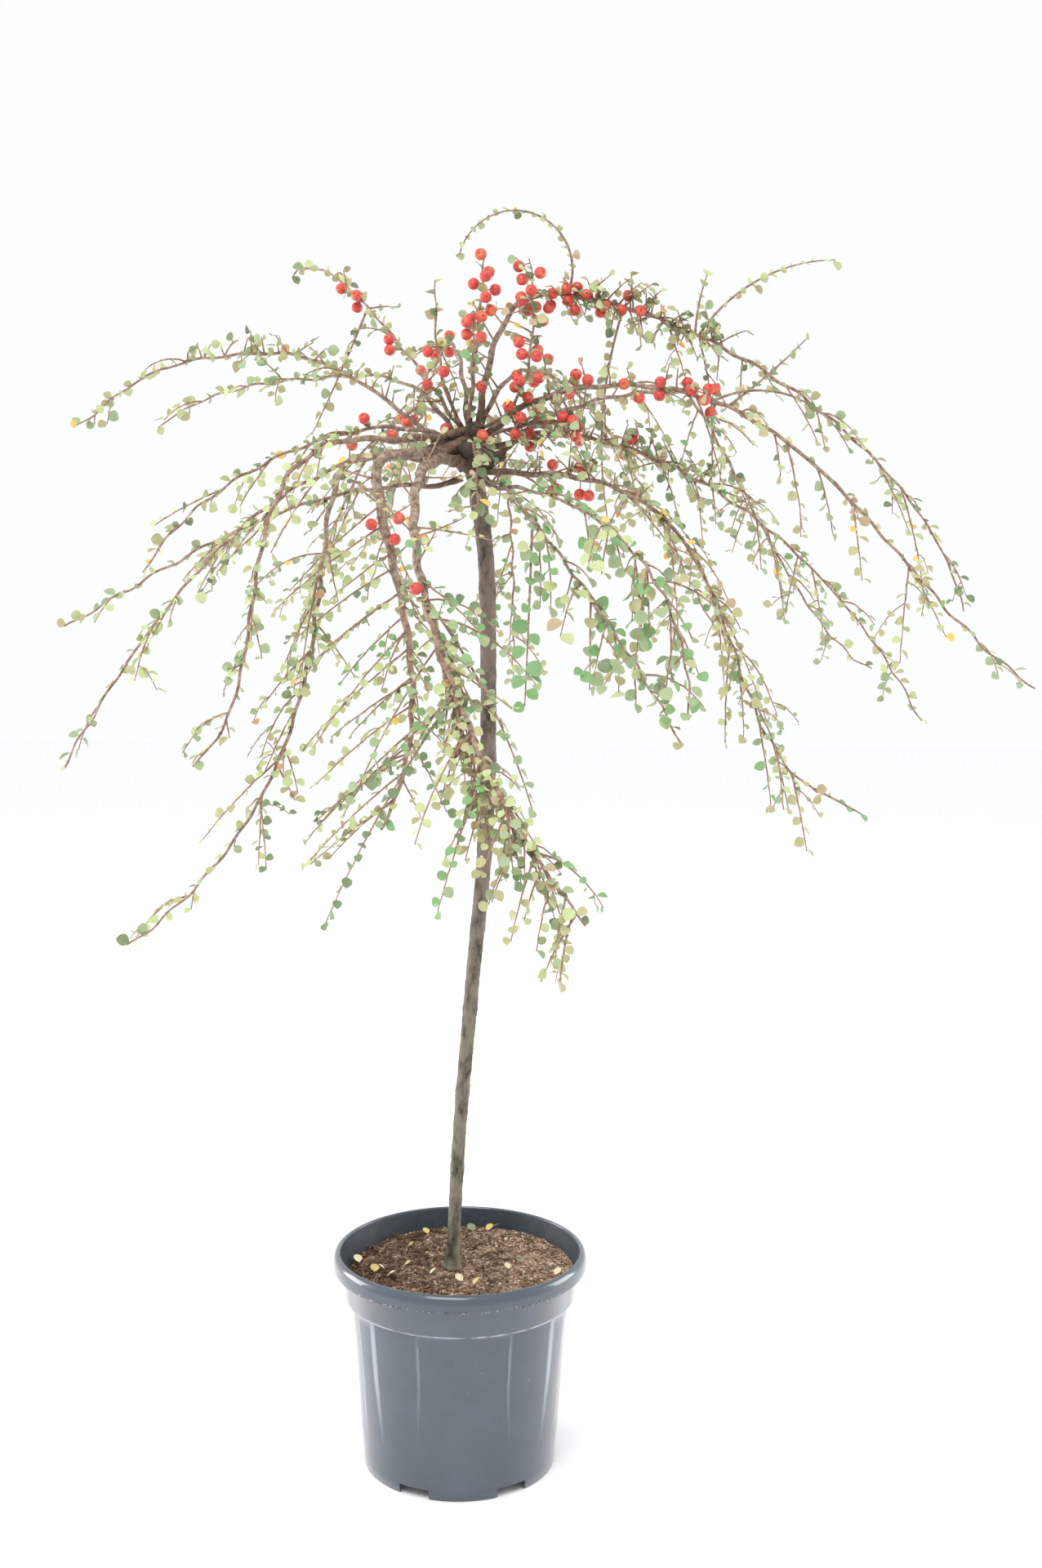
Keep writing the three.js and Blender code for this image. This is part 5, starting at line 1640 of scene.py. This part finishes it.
class COTONEASTER_OT_trunk(bpy.types.Operator):
    """Shape the clear stem with its flare and the knotty graft, with relief in the bark"""

    bl_idname = "cotoneaster.trunk"
    bl_label = "Trunk"

    def execute(self, context):
        settings = context.scene.cotoneaster
        wood = settings.wood
        low, top = STEM_PATH[0][2] * MM, (HEAD[2] - NECK_BELOW) * MM
        heights = np.linspace(low, top, STEM_RINGS)
        share = (heights - low) / (top - low)
        flare = (wood.flare_radius - wood.radius_low) * np.exp((low - heights) / wood.flare_height)
        radii = wood.radius_low + (wood.radius_high - wood.radius_low) * share + flare
        radii += GIRDLE_HEIGHT * np.maximum(0, np.sin(share * GIRDLES)) ** GIRDLE_EDGE
        stem = wood_mesh("stem", [(stem_middle(heights / MM) * MM, radii)], 16)
        lumps = [stem]
        for middle, radius, squash in GRAFT_LUMPS:
            select_only()
            place = [c * MM for c in middle]
            bpy.ops.mesh.primitive_ico_sphere_add(subdivisions=4, radius=radius * MM, location=place)
            bpy.ops.transform.resize(value=(1, 1, squash))
            bpy.ops.object.transform_apply(location=True, rotation=True, scale=True)
            lumps.append(bpy.context.object)
        select_only(*lumps[::-1])
        bpy.ops.object.join()
        trunk = bpy.context.object
        apply_modifier(trunk, "REMESH", mode="VOXEL", voxel_size=wood.grain, use_smooth_shade=True)
        apply_modifier(trunk, "SMOOTH", factor=0.5, iterations=6)
        roughen(trunk, "bark_swell", 0.014, wood.relief * 1.2, 0.5)
        roughen(trunk, "bark_scars", 0.004, wood.relief * 0.8, 0.5)
        self.cut_level(trunk, low)
        dress(trunk, "trunk_bark", stem_material(settings.colours), ["trunk"])
        return {"FINISHED"}

    @staticmethod
    def cut_level(trunk, height):
        """Cuts the foot level where the soil starts."""
        select_only(trunk)
        bpy.ops.object.mode_set(mode="EDIT")
        bpy.ops.mesh.select_all(action="SELECT")
        cut = (0, 0, height - CUT_BELOW)
        bpy.ops.mesh.bisect(plane_co=cut, plane_no=(0, 0, 1), use_fill=True, clear_inner=True)
        bpy.ops.object.mode_set(mode="OBJECT")


class COTONEASTER_OT_boughs(bpy.types.Operator):
    """Draw every bough out of the graft, tapering to where its foliage starts"""

    bl_idname = "cotoneaster.boughs"
    bl_label = "Boughs"

    def execute(self, context):
        settings = context.scene.cotoneaster
        growth = growth_of(settings)
        strands = []
        for line, root, end in growth.woods:
            share = line.reach / line.length
            collar = 1 + COLLAR * np.exp(-line.reach / COLLAR_LENGTH)
            wave = np.sin(line.reach * KNOT_WAVE + root * KNOT_SHIFT)
            knots = 1 + KNOT * np.maximum(0, wave) ** KNOT_EDGE
            radii = (root + (end - root) * share) * collar * knots
            strands.append((line.points * MM, radii * MM))
        boughs = wood_mesh("boughs", strands, 16)
        apply_modifier(boughs, "SUBSURF", levels=1, render_levels=1, subdivision_type="SIMPLE")
        roughen(boughs, "bough_bark", 0.005, settings.wood.relief * 0.8, 0.5)
        bark = bough_material("ripened_wood_bark", "#856f5f", "#4a3b31", "#b5a596")
        dress(boughs, "bough_bark", bark, BOUGH_NODES)
        return {"FINISHED"}


class COTONEASTER_OT_twigs(bpy.types.Operator):
    """Carry the boughs on into leafy stems and fine twigs"""

    bl_idname = "cotoneaster.twigs"
    bl_label = "Stems and twigs"

    def execute(self, context):
        growth = growth_of(context.scene.cotoneaster)
        stem_bark = bough_material("ripened_stem_bark", "#8b6f5e", "#5e483b", "#b5a091")
        twig_bark = bough_material("young_twig_bark", "#92705b", "#674d3e", "#b39883")
        rows = {"leafy_stems": (growth.stems, 8, stem_bark), "fine_twigs": (growth.twigs, 5, twig_bark)}
        for name, (lines, sides, bark) in rows.items():
            dress(taper_pile(lines, sides).build(name), name, bark, FOLIAGE_NODES)
        return {"FINISHED"}


class COTONEASTER_OT_leaves(bpy.types.Operator):
    """Set the leaves, joined by tint"""

    bl_idname = "cotoneaster.leaves"
    bl_label = "Leaves"

    def execute(self, context):
        settings = context.scene.cotoneaster
        for tint, leaves in growth_of(settings).leaves.items():
            # A leaf's waxy upper skin, in one plain colour. Soft light leaves only a faint shine on it
            skin = new_material(f"leaf_skin_{tint}", linear(TINTS[tint]), 0.5, IOR=1.4)
            name = f"leaves_{tint}"
            blades = leaf_pile(leaves, settings.leaves.width).build(name)
            dress(blades, name, skin, FOLIAGE_NODES)
        return {"FINISHED"}


class COTONEASTER_OT_berries(bpy.types.Operator):
    """Model one berry with its dried calyx and copy it into the clusters"""

    bl_idname = "cotoneaster.berries"
    bl_label = "Berries"

    def execute(self, context):
        settings = context.scene.cotoneaster
        growth = growth_of(settings)
        radius = growth.berry_radius
        turns = np.array([self.turn_to(out) for _, out in growth.berries])
        middles = np.array([middle for middle, _ in growth.berries])
        piles = []
        for points, faces in (self.berry(radius), self.calyx(radius)):
            pile = Pile()
            pile.add_copies(np.einsum("nij,kj->nki", turns, points) + middles[:, None], faces)
            piles.append(pile)
        skins, ends = piles
        dress(skins.build("berries"), "berries", berry_material(settings.colours), FOLIAGE_NODES)
        # The calyx has dried to a brown husk with no shine
        husk = new_material("dried_calyx", linear("#96452f"), 0.85)
        dress(ends.build("berry_calyces"), "berry_calyces", husk)
        stalks = taper_pile(growth.stalks, 4)
        bark = bough_material("berry_stalk_bark", "#8b6a58", "#64493c", "#a58f7f")
        dress(stalks.build("berry_stalks"), "berry_stalks", bark)
        return {"FINISHED"}

    @staticmethod
    def berry(radius):
        """A ball that is dimpled at its outer end: its points and faces."""
        rings, sides = BERRY_RINGS, BERRY_SIDES
        points = [(0, 0, -radius)]
        for i in range(1, rings):
            turn = math.pi * i / rings
            dimple = DIMPLE * max(0, (turn - DIMPLE_FROM) / DIMPLE_OVER)
            for j in range(sides):
                around = 2 * math.pi * j / sides
                flat = radius * math.sin(turn)
                high = -radius * math.cos(turn) - radius * dimple
                points.append((flat * math.cos(around), flat * math.sin(around), high))
        points.append((0, 0, radius * BERRY_END))
        faces = [(0, 1 + (j + 1) % sides, 1 + j) for j in range(sides)]
        for i in range(rings - 2):
            for j in range(sides):
                a, b = 1 + i * sides + j, 1 + i * sides + (j + 1) % sides
                faces.append((a, b, b + sides, a + sides))
        last = 1 + (rings - 2) * sides
        faces += [(last + j, last + (j + 1) % sides, len(points) - 1) for j in range(sides)]
        return np.array(points), faces

    @staticmethod
    def calyx(radius):
        """Short dry lobes that close over the dimple: their points and faces."""
        points, faces = [], []
        for i in range(CALYX_LOBES):
            around = 2 * math.pi * i / CALYX_LOBES
            way = np.array((math.cos(around), math.sin(around), 0))
            beside = np.array((-math.sin(around), math.cos(around), 0))
            base, rise = UP * radius * BERRY_END, UP * radius * LOBE_RISE
            corner = base + way * radius * LOBE_REACH[0] + beside * radius * LOBE_HALF + rise
            end = base + way * radius * LOBE_REACH[1] + rise
            faces.append(tuple(range(len(points), len(points) + 4)))
            points.extend((base, corner, end, corner - beside * radius * (2 * LOBE_HALF)))
        return np.array(points), faces

    @staticmethod
    def turn_to(out):
        """The rotation that points +Z along a direction."""
        side = level_beside(out)
        return np.column_stack((side, np.cross(out, side), out))


class COTONEASTER_OT_stage(bpy.types.Operator):
    """Lay the pale floor and set the soft light and the camera"""

    bl_idname = "cotoneaster.stage"
    bl_label = "Stage"

    def execute(self, context):
        scene = context.scene
        select_only()
        bpy.ops.mesh.primitive_plane_add(size=FLOOR_SIZE, location=(0, 0, -FLOOR_DROP))
        floor = bpy.context.object
        floor.name = "studio_floor"
        board = new_material("matt_painted_board", scene.cotoneaster.colours.floor, 0.9)
        floor.data.materials.append(board)
        floor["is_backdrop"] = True
        world = bpy.data.worlds.new("soft_white_room")
        world.use_nodes = True
        sockets = world.node_tree.nodes["Background"].inputs
        sockets["Color"].default_value = linear(ROOM_LIGHT[0])
        sockets["Strength"].default_value = ROOM_LIGHT[1]
        scene.world = world
        for name, row in SOFT_BOXES.items():
            self.add_light(name, *row)
        camera = bpy.data.objects.new("camera", bpy.data.cameras.new("camera"))
        scene.collection.objects.link(camera)
        camera.location = CAMERA_PLACE
        tilt = Matrix.Rotation(math.radians(CAMERA_TILT), 4, "X") @ Matrix.Rotation(CAMERA_ROLL, 4, "Z")
        camera.rotation_euler = tilt.to_euler()
        camera.data.lens = CAMERA_LENS
        scene.camera = camera
        scene.view_settings.view_transform = "Standard"
        return {"FINISHED"}

    @staticmethod
    def add_light(name, place, target, power, size):
        """A square soft box at a place, turned to its target."""
        light = bpy.data.lights.new(name, "AREA")
        light.energy = power
        light.size = size
        obj = bpy.data.objects.new(name, light)
        bpy.context.scene.collection.objects.link(obj)
        obj.location = place
        way = Matrix.Translation(target).translation - obj.location
        obj.rotation_euler = way.to_track_quat("-Z", "Y").to_euler()


class COTONEASTER_PT_panel(bpy.types.Panel):
    """Lists the plant's settings and its operators"""

    bl_idname = "COTONEASTER_PT_panel"
    bl_label = "Potted Cotoneaster"
    bl_space_type = "VIEW_3D"
    bl_region_type = "UI"
    bl_category = "Cotoneaster"

    def draw(self, context):
        settings = context.scene.cotoneaster
        for part in ("pot", "soil", "wood", "leaves", "berries", "colours"):
            box = self.layout.box()
            box.label(text=part.title())
            group = getattr(settings, part)
            for name in group.__annotations__:
                box.prop(group, name)
        for operator in OPERATORS:
            self.layout.operator(operator.bl_idname)


OPERATORS = (
    COTONEASTER_OT_pot,
    COTONEASTER_OT_soil,
    COTONEASTER_OT_trunk,
    COTONEASTER_OT_boughs,
    COTONEASTER_OT_twigs,
    COTONEASTER_OT_leaves,
    COTONEASTER_OT_berries,
    COTONEASTER_OT_stage,
)
GROUPS = (PotSizes, SoilSizes, WoodSizes, LeafSizes, BerrySizes, Colours, CotoneasterSettings)


def register():
    """Registers the settings, the operators and the panel."""
    for item in (*GROUPS, *OPERATORS, COTONEASTER_PT_panel):
        bpy.utils.register_class(item)
    bpy.types.Scene.cotoneaster = bpy.props.PointerProperty(type=CotoneasterSettings)


def unregister():
    """Takes everything back out."""
    del bpy.types.Scene.cotoneaster
    for item in reversed((*GROUPS, *OPERATORS, COTONEASTER_PT_panel)):
        bpy.utils.unregister_class(item)


def main():
    """Builds every piece in order."""
    register()
    for operator in OPERATORS:
        group, name = operator.bl_idname.split(".")
        getattr(getattr(bpy.ops, group), name)()
    boxes = {"cad": CAD_BOX, "visual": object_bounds()}
    {name: [list(corner) for corner in box] for name, box in boxes.items()}


if __name__ == "__main__":
    main()
